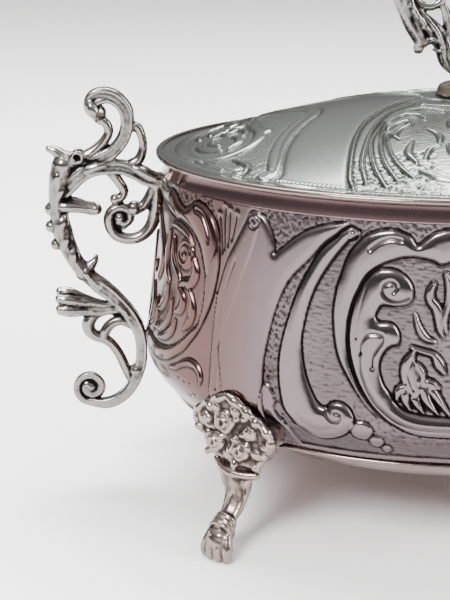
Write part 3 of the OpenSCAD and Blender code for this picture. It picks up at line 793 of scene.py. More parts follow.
def bottom_piece():
    """The plain bowl bottom, outside and inside; its marks are made by bottom_marks."""
    rings = []
    heights = [BOTTOM_Z + 0.001 + (BORDER_Z - BOTTOM_Z) * (k / 24) ** 2 for k in range(25)]
    for z in reversed(heights):
        a = float(wall_half_length(z)) - 0.02
        rings.append((a, a * OVAL, z))
    rings.append((rings[-1][0] * 0.4, rings[-1][1] * 0.4, BOTTOM_Z + 0.001))
    rings.append((0.5, 0.4, BOTTOM_Z + 0.001))
    rings.append((0.5, 0.4, BOTTOM_Z + SHEET))
    for k in range(20):
        z = BOTTOM_Z + SHEET + 0.001 + (BORDER_Z - BOTTOM_Z - SHEET) * (k / 19) ** 2
        depth = min((BELLY_Z - z) / (BELLY_Z - BOTTOM_Z - SHEET), 1.0)
        a = (BELLY_A - SHEET) * (1.0 - depth ** UNDER_POWER) ** (1.0 / UNDER_POWER)
        a = max(a, 1.0)
        rings.append((a, a * (BELLY_B - SHEET) / (BELLY_A - SHEET), z))
    return oval_band("bottom", rings, segments=256)


BOTTOM_MARKS = [[[79.8, 29.0], [79, 28], [77.5, 25], [75, 22.8], [71, 20.8], [66, 18.8], [58, 17]],
                [[95, 29.0], [94.3, 27.5], [93.2, 24.5], [92, 22], [89, 19], [86, 17]]]


def bottom_marks():
    """The raised solder lines that cross the bowl's bottom, four times mirrored."""
    parts = []
    for line in BOTTOM_MARKS:
        path = smooth(line, 0.8)
        t = np.interp(path[:, 0], ARC, TURN)
        a = wall_half_length(path[:, 1]) - 0.12
        for sx in (-1, 1):
            for sy in (-1, 1):
                run = np.column_stack([sx * a * np.cos(t), sy * a * OVAL * np.sin(t), path[:, 1],
                                       np.full(len(t), 0.32)])
                parts += cast_rod(run.tolist())
    lines = joined(parts)
    bpy.ops.object.shade_smooth()
    return to_metres(lines, "bottom_lines")


def collar_piece():
    low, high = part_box("lid_collar")
    a, b = high.x / MM, high.y / MM
    z0, z1 = low.z / MM, high.z / MM
    rings = [(a - 0.2, b - 0.2, z0), (a, b, z0 + 0.25), (a, b, z1), (a - SHEET, b - SHEET, z1),
             (a - SHEET, b - SHEET, z0 + 0.25), (a - SHEET + 0.2, b - SHEET + 0.2, z0)]
    return oval_band("collar", rings)


def boss_piece():
    """The turned boss: a low dome with a step and a fine ring."""
    h = BOSS_TOP - BOSS_Z
    shape = [(0.0, 1.0), (0.12, 1.0), (0.2, 0.965), (0.55, 0.93), (0.72, 0.87), (0.84, 0.78),
             (0.91, 0.66), (0.94, 0.60), (0.955, 0.55), (1.0, 0.5), (1.0, 0.2)]
    rings = [(BOSS_R * out, BOSS_R * out, BOSS_Z + h * up) for up, out in shape]
    rings.append((1.7, 1.7, BOSS_TOP))
    rings.append((1.7, 1.7, BOSS_Z))
    return oval_band("boss", rings, segments=96, corner=40.0)


# ---------------------------------------------------------------- cast pieces

VEIN_THICKNESS = 0.36


def cast_rod(points, veins=0, twist=0.0):
    """A tapering round rod along [x, y, z, radius] points, with veins wound along it."""
    p = np.array(points, float)
    path = smooth(np.column_stack([p[:, 0], p[:, 2], p[:, 1], p[:, 3]]), 0.7)
    path = path[:, [0, 2, 1, 3]]
    lines = [path]
    if veins:
        core = path.copy()
        core[:, 3] *= 0.86
        lines = [core]
        along = np.gradient(path[:, :3], axis=0)
        along /= np.maximum(np.linalg.norm(along, axis=1, keepdims=True), 1e-9)
        side = np.array([0.0, 1.0, 0.0])
        up = np.cross(along, side)
        up /= np.maximum(np.linalg.norm(up, axis=1, keepdims=True), 1e-9)
        steps = np.linalg.norm(np.diff(path[:, :3], axis=0), axis=1)
        run = np.concatenate([[0.0], np.cumsum(steps)])
        for k in range(veins):
            turn = np.radians(360.0 * (k + 0.5) / veins + twist * run)[:, None]
            out = path[:, 3:4] * 0.72
            edge = path[:, :3] + out * (np.cos(turn) * side + np.sin(turn) * up)
            lines.append(np.column_stack([edge, path[:, 3] * VEIN_THICKNESS]))
    curve = bpy.data.curves.new("rod", "CURVE")
    curve.dimensions = "3D"
    curve.bevel_depth = 1.0
    curve.bevel_resolution = 2
    curve.use_fill_caps = True
    for line in lines:
        spline = curve.splines.new("POLY")
        spline.points.add(len(line) - 1)
        spline.points.foreach_set("co", np.column_stack([line[:, :3], np.ones(len(line))]).ravel())
        spline.points.foreach_set("radius", line[:, 3].copy())
    obj = bpy.data.objects.new("rod", curve)
    bpy.context.scene.collection.objects.link(obj)
    only(obj)
    bpy.ops.object.convert(target="MESH")
    ends = [ball(path[k][:3], [path[k][3]] * 3) for k in (0, -1)]
    return [obj] + ends


def ball(centre, radii):
    """A stretched ball at a point of the piece's own frame."""
    deselect()
    bpy.ops.mesh.primitive_uv_sphere_add(segments=24, ring_count=14, radius=1.0, location=centre,
                                         scale=radii)
    return bpy.context.object


def cast_whole(name, parts, voxel, polish=3):
    """Joins the worked parts into one casting with a single skin."""
    whole = joined(parts)
    skin = whole.modifiers.new("skin", "REMESH")
    skin.mode = "VOXEL"
    skin.voxel_size = voxel
    skin.use_smooth_shade = True
    bpy.ops.object.modifier_apply(modifier=skin.name)
    soft = whole.modifiers.new("polish", "SMOOTH")
    soft.factor = 0.5
    soft.iterations = polish
    bpy.ops.object.modifier_apply(modifier=soft.name)
    whole.name = name
    whole.data.name = name
    return whole


HOLLOW = 0.0005


def mark_recesses(obj, rounds=24):
    """Stores how hidden each point of a casting is, from its distance to a smoothed copy."""
    mesh = obj.data
    count = len(mesh.vertices)
    co = np.zeros(count * 3)
    mesh.vertices.foreach_get("co", co)
    co = co.reshape(-1, 3)
    normal = np.zeros(count * 3)
    mesh.vertices.foreach_get("normal", normal)
    normal = normal.reshape(-1, 3)
    edges = np.zeros(len(mesh.edges) * 2, dtype=np.int64)
    mesh.edges.foreach_get("vertices", edges)
    edges = edges.reshape(-1, 2)
    links = np.bincount(edges.ravel(), minlength=count)[:, None]
    soft = co.copy()
    for _ in range(rounds):
        total = np.zeros_like(soft)
        for axis in range(3):
            total[:, axis] = np.bincount(edges[:, 0], soft[edges[:, 1], axis], count)
            total[:, axis] += np.bincount(edges[:, 1], soft[edges[:, 0], axis], count)
        soft = total / np.maximum(links, 1)
    sunk = ((soft - co) * normal).sum(1) / HOLLOW
    layer = mesh.attributes.new("recess", "FLOAT", "POINT")
    layer.data.foreach_set("value", np.clip(0.35 + sunk, 0.0, 1.0).astype(np.float32))


def mirrored(obj, name, sx, sy):
    """A mirrored copy of a finished casting, with a mesh of its own."""
    copy = obj.copy()
    copy.data = obj.data.copy()
    copy.name = name
    copy.data.name = name
    bpy.context.scene.collection.objects.link(copy)
    only(copy)
    copy.scale = (sx, sy, 1.0)
    bpy.ops.object.transform_apply(location=False, rotation=False, scale=True)
    if sx * sy < 0:
        turn_outward()
    return copy


HANDLE_RODS = [
    ("neck", 0, [[20.4, 48.6, 2.7], [21.6, 45, 2.6], [22.2, 41.5, 2.3], [22.4, 38, 2.2],
                 [22, 34, 2.3], [21.3, 30.4, 2.5], [20.3, 27, 2.3], [18.4, 22.6, 2.1],
                 [15.4, 18.6, 2.1], [12, 15.5, 2.1]]),
    ("stem", 4, [[13.6, 16.8, 2.0], [12, 15.5, 2.3], [9, 13, 2.1], [6.3, 10.2, 2.0],
                 [4, 7.2, 2.0], [2.1, 3.7, 1.9], [1.1, 0, 1.8], [0.9, -4, 1.7], [1.4, -8, 1.7],
                 [2.8, -12, 1.6], [5, -15.5, 1.6], [8, -18, 1.6], [11.3, -19.1, 1.55]]
     + [p + [1.0] for p in spiral(15.3, -14.2, 4.6, 1.3, -75, 1.3)]),
    ("arch", 4, [[20.4, 41, 1.6], [18.4, 43.6, 2.1], [16, 46, 2.2], [13.2, 47.4, 2.1],
                 [9.5, 48, 2.0], [5, 48, 2.0], [1.5, 46.6, 2.0], [-2, 44.8, 2.1],
                 [-6.5, 44.3, 2.1]]),
    ("crest", 4, [[15, 49.5, 1.8], [12, 49.8, 1.8], [9.5, 51, 1.9], [7, 52.5, 1.9],
                  [4.6, 55.5, 1.9], [3.4, 59, 1.9], [3.4, 62.5, 2.0], [4.8, 65, 2.0],
                  [7, 66.7, 2.1], [9.6, 67.3, 2.0], [12, 66.6, 1.9], [13, 64.6, 1.7],
                  [12.4, 62.6, 1.5], [10.6, 62, 1.5]]),
    ("crest_leaf", 0, [[14.5, 50.8, 1.6], [11.5, 53, 1.3], [9.2, 55.4, 1.2], [8.2, 57.6, 1.2],
                       [8.8, 59.6, 1.2], [10.8, 60.8, 1.2]]),
    ("back_loop", 0, [[2.6, 58.6, 1.3], [0.5, 58.4, 1.2], [-0.7, 54, 1.1], [0.3, 50.2, 1.3],
                      [2.5, 48.6, 1.5]]),
    ("wing", 2, [[23.4, 37.8, 1.5], [20.5, 38, 1.9], [17.5, 37.8, 1.9], [15, 37.2, 1.6],
                 [13.2, 36.8, 1.7], [12.2, 36.6, 1.5]]),
    ("hook", 0, [[8, 47, 1.5], [5.8, 43.8, 1.3], [4.6, 41.6, 1.2], [5.4, 39.8, 1.2],
                 [7, 39.3, 1.4]]),
    ("ring", 2, [[6.2, 33.2, 1.0], [4.6, 32.6, 1.1], [3.2, 34, 1.1], [3.8, 36.2, 1.2],
                 [6, 37, 1.2], [8.2, 35.8, 1.3], [8.8, 33, 1.4], [7.6, 30, 1.4],
                 [5.3, 28.6, 1.4], [2, 28.5, 1.4], [-0.8, 30, 1.4], [-2.7, 32.7, 1.5],
                 [-3.8, 37, 1.7], [-4.1, 43, 1.9]]),
    ("bud", 0, [[-2.9, 41.6, 1.3], [-1.5, 39, 1.3], [0, 37.2, 1.4], [2, 36.8, 1.9]]),
    ("thorn", 0, [[16.4, 18.8, 1.9], [14.4, 20.8, 1.5], [13, 22.4, 0.9], [12.6, 23.6, 0.6]]),
    ("flower_stalk", 4, [[7, 9.4, 1.8], [10, 9, 1.8], [13.4, 9.2, 2.3], [16.4, 9.8, 2.8],
                         [18.8, 10.2, 3.0]]),
    ("inner_curl", 2, [[6.2, 8, 1.3], [10, 8.4, 1.4], [13.4, 7.3, 1.5], [15.3, 4.8, 1.6],
                       [15.1, 2.2, 1.5], [13.3, 0.7, 1.4], [11, -0.2, 1.3], [9, -1.8, 1.2],
                       [7, -5, 1.2], [5.4, -9, 1.2], [3.9, -12.4, 1.2]]),
    ("small_curl", 0, [[3.6, 4, 1.3], [6.5, 5.2, 1.4], [9.2, 4.2, 1.4], [10.9, 2, 1.4],
                       [11.4, 0.4, 1.3]]),
]
HANDLE_FULLNESS = 1.1
HANDLE_BALLS = [(17.4, 50.0, 2.4), (24.3, 36.8, 1.7), (24.3, 32, 1.7), (23.2, 27, 1.6),
                (2.4, -9.5, 2.1), (5.9, 34.2, 1.5), (10.9, 62.4, 2.3), (15.3, -14.2, 1.2),
                (21.6, 45.6, 2.7)]
HANDLE_LEAVES = [
    [(20.2, 48, 0.6), (21.6, 46, 1.7), (22.8, 43.4, 1.2), (23.2, 41.6, 0.4)],
    [(20.4, 44.6, 0.5), (21.2, 42, 1.5), (22.6, 39.6, 1.1), (23.4, 38.2, 0.4)],
    [(23.4, 37.2, 0.6), (20.6, 37.6, 1.5), (17.4, 37.4, 1.3), (14, 36.8, 0.6)],
    [(20.6, 36.2, 0.6), (21.2, 33.4, 1.7), (22.4, 31, 1.3), (23, 29, 0.4)],
    [(20.2, 31.6, 0.6), (20.4, 28.8, 1.7), (21, 26.2, 1.3), (21.2, 24.4, 0.4)],
    [(18.8, 27.2, 0.6), (18.6, 24.6, 1.6), (18.4, 22, 1.2), (17.8, 20.4, 0.4)],
    [(15.6, 21.4, 0.5), (15.4, 19.2, 1.4), (14.2, 17.2, 1.1), (12.6, 15.6, 0.4)],
    [(12.4, 66.4, 0.5), (12.6, 64.6, 1.4), (11.8, 62.8, 1.7), (10.8, 61.6, 1.0)],
    [(5.6, 64.4, 0.4), (8.4, 65.8, 0.9), (11, 65.2, 1.0), (11.6, 63.8, 0.6)],
    [(3.8, 48.4, 0.5), (0.4, 47.4, 1.3), (-2.6, 45.6, 1.4), (-5.6, 44.4, 1.0)],
    [(16.6, 45.6, 0.5), (13.6, 47.6, 1.3), (10.4, 48.6, 1.2), (7.4, 48.6, 0.4)],
    [(3.4, 5, 0.5), (5.2, 8, 1.2), (7.4, 10.6, 0.9), (9.2, 12.6, 0.4)],
]


def handle_piece():
    """The right handle: scrolls, a bird's head at the thumb rest, buds and a flower."""
    z0 = BELLY_Z
    x0 = BELLY_A
    parts = []
    for _, veins, line in HANDLE_RODS:
        points = [[x0 + u, 0.0, z0 + v, r * HANDLE_FULLNESS] for u, v, r in line]
        parts += cast_rod(points, veins=veins)
    for u, v, r in HANDLE_BALLS:
        parts.append(ball((x0 + u, 0, z0 + v), (r, min(r, 2.2), r)))
    parts += cast_rod([[x0 + 18.4, 0, z0 + 49.8, 2.5], [x0 + 20.6, 0, z0 + 51, 1.9],
                       [x0 + 22.4, 0, z0 + 52.4, 1.5], [x0 + 24.0, 0, z0 + 53, 1.0]])
    parts += cast_rod([[x0 + 20.6, 0, z0 + 49.4, 2.2], [x0 + 22, 0, z0 + 49.2, 1.5],
                       [x0 + 22.6, 0, z0 + 46.4, 1.5]])
    for u, v, r in ((15.3, -14.2, 4.2), (5.9, 33.6, 3.0)):
        parts.append(ball((x0 + u, 0, z0 + v), (r, 0.5, r)))
    for petal in range(6):
        a = 2 * math.pi * (petal + 0.5) / 6
        parts += cast_rod([[x0 + u, out * math.cos(a), z0 + v + out * math.sin(a), r]
                           for u, v, out, r in ((14.0, 9.4, 1.6, 0.8), (17.4, 10.0, 2.4, 1.2),
                                                (20.4, 10.6, 2.9, 1.5), (22.8, 10.9, 2.9, 1.2))])
    for side in (-1, 1):
        ring = [[x0 + 16.6 + 1.35 * math.cos(a), side * 2.3, z0 + 51 + 1.35 * math.sin(a), 0.5]
                for a in np.linspace(0.0, 2 * math.pi, 13)]
        parts += cast_rod(ring)
        for leaf in HANDLE_LEAVES:
            parts += cast_rod([[x0 + u, side * (0.7 + 0.4 * r), z0 + v, r] for u, v, r in leaf])
    return to_metres(cast_whole("handle_right_cast", parts, 0.3, polish=2), "handle_right_cast")


FINIAL_FULLNESS = 0.92
FINIAL_RODS = [
    (3, [[0, 1.2, 2.9], [3, 1.8, 2.7], [5.6, 4, 2.6], [7.2, 7.6, 2.5], [9.2, 11, 2.5],
         [12.2, 13.8, 2.4], [15.4, 16.8, 2.4], [17.6, 21, 2.3], [18.6, 26, 2.2], [17.8, 31, 2.1],
         [15, 35.6, 1.9], [10.4, 37.6, 1.8], [7, 36.8, 1.6], [5.4, 34, 1.5], [6.8, 31.6, 1.6]]),
    (0, [[11.4 + 3.9 * math.cos(a), 21.8 + 3.9 * math.sin(a), 1.25]
         for a in np.linspace(0, 2 * math.pi, 13)]),
    (0, [[13.6, 7.0, 1.5], [13.6, 9.4, 1.8], [15.8, 13.0, 1.9], [18.0, 17.4, 1.9], [19.8, 22, 1.8],
         [20.4, 26.5, 1.6], [19.6, 31, 1.4], [17, 35.4, 1.2]]),
    (0, [[12.6, 9.4, 1.7], [14.2, 13.4, 2.1], [16.2, 17.8, 2.1], [18.2, 22.6, 2.0], [19.0, 28, 1.7]]),
    (0, [[9.6, 10.8, 2.2], [7.6, 8.0, 2.2], [6.4, 5.2, 1.9]]),
    (2, [[9.0, 11.2, 1.7], [11.2, 9.4, 1.6], [12.8, 8.2, 1.4]]),
    (2, [[8.4, 19.6, 1.1], [6.6, 15.6, 1.4], [5.8, 11, 1.5], [5.4, 7, 1.5], [5.6, 4.4, 1.4],
         [5.8, 3.0, 1.2]]),
    (2, [[5.8, 3.2, 1.3], [3.6, 2.6, 1.6], [1.0, 3.4, 1.7]]),
    (0, [[6.4, 8, 1.3], [3.4, 10.6, 1.1], [1.2, 13.6, 1.1]]),
]


def finial_piece():
    """The cast finial: paired leaf scrolls with pierced rings round a slim bud."""
    z0 = BOSS_TOP
    parts = []
    for side in (-1, 1):
        for veins, line in FINIAL_RODS:
            parts += cast_rod([[side * u, 0.0, z0 + v, r * FINIAL_FULLNESS] for u, v, r in line],
                              veins=veins * 2, twist=7.0)
        for front in (-1, 1):
            for k in range(5):
                parts += cast_rod([[side * (6.4 + 2.0 * k), front * 1.4, z0 + 6.0 + 2.7 * k, 0.45],
                                   [side * (8.0 + 2.0 * k), front * 2.0, z0 + 6.6 + 2.9 * k, 0.5],
                                   [side * (9.6 + 2.0 * k), front * 1.2, z0 + 6.6 + 3.1 * k, 0.35]])
    parts += cast_rod([[0, 0, z0 + v, r] for v, r in ((1.5, 2.6), (6, 2.0), (12, 1.4), (18, 1.4),
                                                      (24, 1.7), (27.5, 2.5), (30.5, 2.6),
                                                      (34, 1.4), (36.2, 0.6))], veins=5, twist=4.0)
    deselect()
    bpy.ops.mesh.primitive_cone_add(vertices=48, radius1=4.2, radius2=2.3, depth=2.6,
                                    location=(0, 0, z0 + 1.3))
    parts.append(bpy.context.object)
    whole = cast_whole("finial_cast", parts, 0.3)
    high = max(v.co.z for v in whole.data.vertices)
    low = min(v.co.z for v in whole.data.vertices)
    only(whole)
    span = (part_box("finial")[1].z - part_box("finial")[0].z) / MM
    scale = (span - 0.1) / (high - low)
    bpy.ops.object.mode_set(mode="EDIT")
    bpy.ops.mesh.select_all(action="SELECT")
    bpy.ops.transform.resize(value=(1, 1, scale), center_override=(0, 0, low))
    bpy.ops.transform.translate(value=(0, 0, z0 - low))
    bpy.ops.object.mode_set(mode="OBJECT")
    return to_metres(whole, "finial_cast")


FOOT_TURN = 41.0
PLATE_RISE = 5.8
SOLE_CUT = 0.02


def rose(d, s, z, r, seed):
    """A small rose: a dome with a ring of petals and a smaller second ring at its heart."""
    parts = [ball((d - 0.25 * r, s, z), (0.7 * r, 0.9 * r, 0.9 * r))]
    for out, thick, lift, lobes in ((0.78, 0.24, 0.12, 5), (0.36, 0.19, 0.42, 3)):
        ring = []
        for a in np.linspace(0.0, 2 * math.pi, 21):
            wave = out * r * (1.0 + 0.1 * math.cos(lobes * a + seed))
            ring.append([d + lift * r, s + wave * math.cos(a), z + wave * math.sin(a), thick * r])
        parts += cast_rod_sideways(ring)
    return parts


PLATE_LEAN = 0.13
PLATE_FRONT = 1.4
PLATE_BACK = -4.4
RIM_FULLNESS = 1.15
PLATE_OUTLINE = [[0, 43.0], [-4.5, 40.6], [-8.2, 38.4], [-11, 35.6], [-10.2, 32.4], [-8, 30.4],
                 [-7.4, 27.6], [-5, 25.2], [-1.6, 24.4], [3, 24], [7, 24.8], [9.8, 27.6],
                 [10.6, 30.4], [12.6, 31.6], [12.8, 34.6], [10.6, 37.2], [7.4, 39], [4.4, 41]]
PLATE_RIMS = (([[-4.5, 40.6], [0, 43.0], [4.4, 41], [7.4, 39], [10.6, 37.2], [12.8, 34.6],
                [12.6, 31.6]], 1.15),
              ([[-4.5, 40.6], [-8.2, 38.4], [-11, 35.6], [-10.2, 32.4], [-8, 30.4]], 0.95),
              ([[-8, 30.4], [-7.4, 27.6], [-5, 25.2]], 0.8),
              ([[12.6, 31.6], [10.6, 30], [9.8, 27.6], [7, 24.8]], 0.85))


def on_plate(s, z, proud=0.0):
    """A point of the rose plate, which leans out with the wall behind it."""
    return [3.0 + PLATE_LEAN * (z - 33.0) + proud, s, z]


def plate_parts():
    """The plate, the lumps along its rim, its roses and the leaves between them."""
    plate = bpy.data.objects.new("plate", bpy.data.meshes.new("plate"))
    bpy.context.scene.collection.objects.link(plate)
    edge = smooth(PLATE_OUTLINE + PLATE_OUTLINE[:1], 0.8)[:-1]
    front = [on_plate(s, z, PLATE_FRONT) for s, z in edge]
    back = [on_plate(s, z, PLATE_BACK) for s, z in edge]
    n = len(edge)
    faces = [list(range(n))[::-1], [n + k for k in range(n)]]
    faces += [[k, (k + 1) % n, n + (k + 1) % n, n + k] for k in range(n)]
    plate.data.from_pydata(front + back, [], faces)
    only(plate)
    turn_outward()
    parts = [plate]
    for run, r in PLATE_RIMS:
        for (s, z), (s2, z2) in zip(run[:-1], run[1:]):
            lump = [on_plate(s + (s2 - s) * t, z + (z2 - z) * t, 0.9) + [RIM_FULLNESS * r * wide]
                    for t, wide in ((0.1, 0.75), (0.5, 1.12), (0.9, 0.75))]
            parts += cast_rod_sideways(lump)
    for k, (s, z, r) in enumerate(((-0.9, 35.9, 3.1), (-4.6, 29.4, 2.8), (3.2, 28.9, 2.8),
                                   (6.7, 34.4, 1.9), (8.0, 29, 1.5), (-7.4, 35.0, 1.9),
                                   (-0.8, 26.4, 1.6), (2.6, 39.4, 1.5), (-3.4, 39.2, 1.4))):
        d = on_plate(s, z, 1.5)[0]
        parts += rose(d, s, z, r, k)
    for s, z, turn in ((-8.6, 32.6, 200), (10, 32.4, -20), (4.6, 37.4, 40), (-5, 33, 150),
                       (-6.6, 26.8, 230), (6.6, 26.2, -40), (3.4, 33.4, 10), (0.6, 31.9, -10),
                       (-1.8, 31.4, 200), (8.6, 36.6, 80), (5.2, 31.6, -70), (-4.6, 37.6, 120),
                       (0.9, 25.4, -90), (-6.8, 32.2, 260), (2.4, 36.4, 60), (-0.4, 29.4, -80)):
        a = math.radians(turn)
        leaf = [on_plate(s + along * math.cos(a), z + along * math.sin(a), proud) + [thick]
                for along, proud, thick in ((0.0, 1.2, 0.6), (1.4, 1.7, 1.0), (2.8, 1.2, 0.4))]
        parts += cast_rod_sideways(leaf)
    return parts


def leg_parts():
    """The skirt under the plate and the fluted leg."""
    parts = []
    skirt = [[2.2, -5.6, 23.6, 1.1], [3.6, -2.8, 22.6, 1.2], [4.2, 0, 22.2, 1.25], [3.6, 3, 22, 1.2],
             [2.2, 6.6, 22.2, 1.1]]
    parts += cast_rod_sideways(skirt)
    parts.append(ball((1.4, 0, 22.4), (2.6, 5.6, 2.0)))
    for k in range(7):
        s = (k - 3) * 1.35
        top = [2.6 - 0.10 * s * s / 1.4, s * 1.15, 21.8, 0.9]
        parts += cast_rod_sideways([top, [1.9 + 0.02 * s, s * 0.95, 19, 0.95],
                                    [1.4, s * 0.72, 15.4, 0.85], [3.3, s * 0.55, 12, 0.72],
                                    [5.6, s * 0.48, 9.6, 0.62], [7.8, s * 0.45, 8.0, 0.55]])
    parts += cast_rod_sideways([[0.4, 0, 22, 3.9], [0.2, 0, 18.8, 3.4], [0.5, 0, 15.4, 2.9],
                                [2.5, 0, 11.8, 2.5], [4.6, 0, 9.8, 2.2], [7.2, 0, 8, 2.1]])
    return parts


def paw_parts():
    """Three cuff rings, the paw and its four toes."""
    parts = []
    for d, z, r in ((5.7, 9.4, 2.7), (6.8, 8.4, 2.95), (7.9, 7.4, 3.1)):
        parts += cast_rod_sideways([[d + 0.7 * math.sin(a), r * math.cos(a),
                                     z + 0.75 * r * math.sin(a), 0.6]
                                    for a in np.linspace(0, 2 * math.pi, 17)])
    parts.append(ball((6.0, 0, 6.2), (2.4, 2.6, 2.8)))
    parts.append(ball((8.4, 0, 6.5), (2.3, 3.0, 1.9)))
    parts.append(ball((8.4, 0, 4.4), (3.0, 3.7, 3.6)))
    parts.append(ball((7.8, 0, 2.0), (2.9, 3.4, 2.0)))
    for k in (-1.5, -0.5, 0.5, 1.5):
        s = k * 2.2
        reach = 10.4 - 0.35 * k * k
        parts += cast_rod_sideways([[8.4, s * 0.75, 6.2, 1.4], [reach - 0.4, s * 0.95, 4.2, 1.5],
                                    [reach, s * 1.05, 2.4, 1.4], [reach - 0.1, s * 1.06, 1.3, 1.3]])
    return parts


def foot_piece():
    """One paw foot with its rose plate, made facing along +X and turned to its place."""
    whole = cast_whole("foot_cast", plate_parts() + leg_parts() + paw_parts(), 0.28)
    only(whole)
    bpy.ops.object.mode_set(mode="EDIT")
    bpy.ops.mesh.select_all(action="SELECT")
    bpy.ops.mesh.bisect(plane_co=(0, 0, SOLE_CUT), plane_no=(0, 0, 1), use_fill=True, clear_inner=True)
    bpy.ops.mesh.select_all(action="SELECT")
    bpy.ops.transform.translate(value=(0, 0, -SOLE_CUT))
    bpy.ops.object.mode_set(mode="OBJECT")
    z_mid = (BELLY_Z + BOTTOM_Z) / 2 + PLATE_RISE
    a = float(wall_half_length(z_mid))
    b = a * OVAL
    turn = math.radians(FOOT_TURN)
    whole.rotation_euler = (0, 0, math.atan2(math.sin(turn) / b, math.cos(turn) / a))
    whole.location = (a * math.cos(turn), b * math.sin(turn), 0)
    bpy.ops.object.transform_apply(location=True, rotation=True, scale=True)
    return to_metres(whole, "foot_back_right_cast")


def cast_rod_sideways(points):
    """A rod whose points are [out, sideways, up, radius], with plain steps between them."""
    p = np.array(points, float)
    q = np.column_stack([p[:, 1], p[:, 2], p[:, 0], p[:, 3]])
    path = smooth(q, 0.7)[:, [2, 0, 1, 3]]
    return cast_rod(path[:: max(1, len(path) // 60)].tolist())


# ---------------------------------------------------------------- silver, its tarnish and its painted reflections


def paint(code):
    """A colour from its sRGB hex code."""
    parts = [int(code[k:k + 2], 16) / 255.0 for k in (0, 2, 4)]
    return [c / 12.92 if c <= 0.04045 else ((c + 0.055) / 1.055) ** 2.4 for c in parts] + [1.0]


def add_node(tree, kind, settings=None, **values):
    """Adds a node; values are its input sockets by name, as numbers or as sockets to link."""
    node = tree.nodes.new(kind)
    for key, value in (settings or {}).items():
        setattr(node, key, value)
    for key, value in values.items():
        socket = node.inputs[int(key[1:])] if key[0] == "_" else node.inputs[key.replace("_", " ")]
        if isinstance(value, bpy.types.NodeSocket):
            tree.links.new(value, socket)
        else:
            socket.default_value = value
    return node


def silver(name, bright, dark, low_gloss, high_gloss, reflection_tint=None, reflection_low=0.0, reflection_high=0.0,
           reflection_end_from=0.0, reflection_end_to=0.0, dents=0.00002, grime=1.0, mottle=0.0):
    """Worn silver: bright where hands and cloths rub it, dark sulphide left in the hollows.

    The eye gets broad soft reflections on the tops and near-black, duller metal between them.
    grime spreads the sulphide out of the hollows, and mottle pits the skin of a casting;
    reflection_tint is a painted reflection, a rosy colour multiplied in low down and towards the ends.
    """
    made = bpy.data.materials.new(name)
    made.use_nodes = True
    tree = made.node_tree
    tree.nodes.clear()
    place = add_node(tree, "ShaderNodeTexCoord").outputs["Object"]
    hidden = add_node(tree, "ShaderNodeAttribute", {"attribute_name": "recess"}).outputs["Fac"]
    cloud = add_node(tree, "ShaderNodeTexNoise", Vector=place, Scale=38.0, Detail=4.0,
                     Roughness=0.6).outputs["Fac"]
    speck = add_node(tree, "ShaderNodeTexNoise", Vector=place, Scale=900.0, Detail=3.0,
                     Roughness=0.6).outputs["Fac"]
    patchy = add_node(tree, "ShaderNodeMath", {"operation": "MULTIPLY_ADD"}, _0=cloud, _1=0.5,
                      _2=-0.25).outputs[0]
    pitted = add_node(tree, "ShaderNodeMath", {"operation": "MULTIPLY_ADD"}, _0=speck, _1=mottle,
                      _2=patchy).outputs[0]
    spots = add_node(tree, "ShaderNodeMath", {"operation": "SUBTRACT"}, _0=pitted,
                     _1=0.5 * mottle).outputs[0]
    amount = add_node(tree, "ShaderNodeMath", {"operation": "MULTIPLY_ADD"}, _0=hidden, _1=grime,
                      _2=spots).outputs[0]
    sulphide = add_node(tree, "ShaderNodeMapRange", {"interpolation_type": "SMOOTHSTEP"},
                        Value=amount, From_Min=0.1, From_Max=1.0).outputs[0]
    metal = add_node(tree, "ShaderNodeMix", {"data_type": "RGBA"}, _0=sulphide,
                     _6=paint(bright), _7=paint(dark)).outputs[2]
    # Painted reflection: a rosy tint multiplied into the metal low down and towards the ends.
    if reflection_tint:
        apart = add_node(tree, "ShaderNodeSeparateXYZ", Vector=place)
        wander = add_node(tree, "ShaderNodeMath", {"operation": "MULTIPLY_ADD"}, _0=cloud,
                          _1=0.03, _2=apart.outputs["Z"]).outputs[0]
        low_reflection = add_node(tree, "ShaderNodeMapRange", {"interpolation_type": "SMOOTHSTEP"},
                            Value=wander, From_Min=reflection_high, From_Max=reflection_low,
                            To_Max=0.75).outputs[0]
        from_middle = add_node(tree, "ShaderNodeMath", {"operation": "ABSOLUTE"},
                               _0=apart.outputs["X"]).outputs[0]
        end_reflection = add_node(tree, "ShaderNodeMapRange", {"interpolation_type": "SMOOTHSTEP"},
                           Value=from_middle, From_Min=reflection_end_from, From_Max=reflection_end_to).outputs[0]
        reflection_share = add_node(tree, "ShaderNodeMath", {"operation": "MAXIMUM"}, _0=low_reflection,
                         _1=end_reflection).outputs[0]
        metal = add_node(tree, "ShaderNodeMix", {"data_type": "RGBA", "blend_type": "MULTIPLY"},
                         _0=reflection_share, _6=metal, _7=paint(reflection_tint)).outputs[2]
    rough = add_node(tree, "ShaderNodeMapRange", Value=amount, From_Min=0.0, From_Max=1.0,
                     To_Min=low_gloss, To_Max=high_gloss).outputs[0]
    bumps = add_node(tree, "ShaderNodeBump", Height=speck, Distance=dents, Strength=0.6)
    shader = add_node(tree, "ShaderNodeBsdfPrincipled", Base_Color=metal, Metallic=1.0,
                      Roughness=rough, Normal=bumps.outputs[0])
    add_node(tree, "ShaderNodeOutputMaterial", Surface=shader.outputs[0])
    return made


# Sheet silver of the bowl: a cool grey, with a rosy tint low down and at the ends that is a
# painted reflection of red surroundings, multiplied into the colour.
BODY_SILVER = silver("sheet_silver", "6B6264", "120E0D", 0.15, 0.46, "D4B0A6", 0.01, 0.075,
                     reflection_end_from=0.045, reflection_end_to=0.075, grime=1.25)
# Sheet silver of the lid: a slightly green grey bloom over a smoother shine.
LID_SILVER = silver("lid_silver", "72756F", "1C1E1A", 0.2, 0.45)
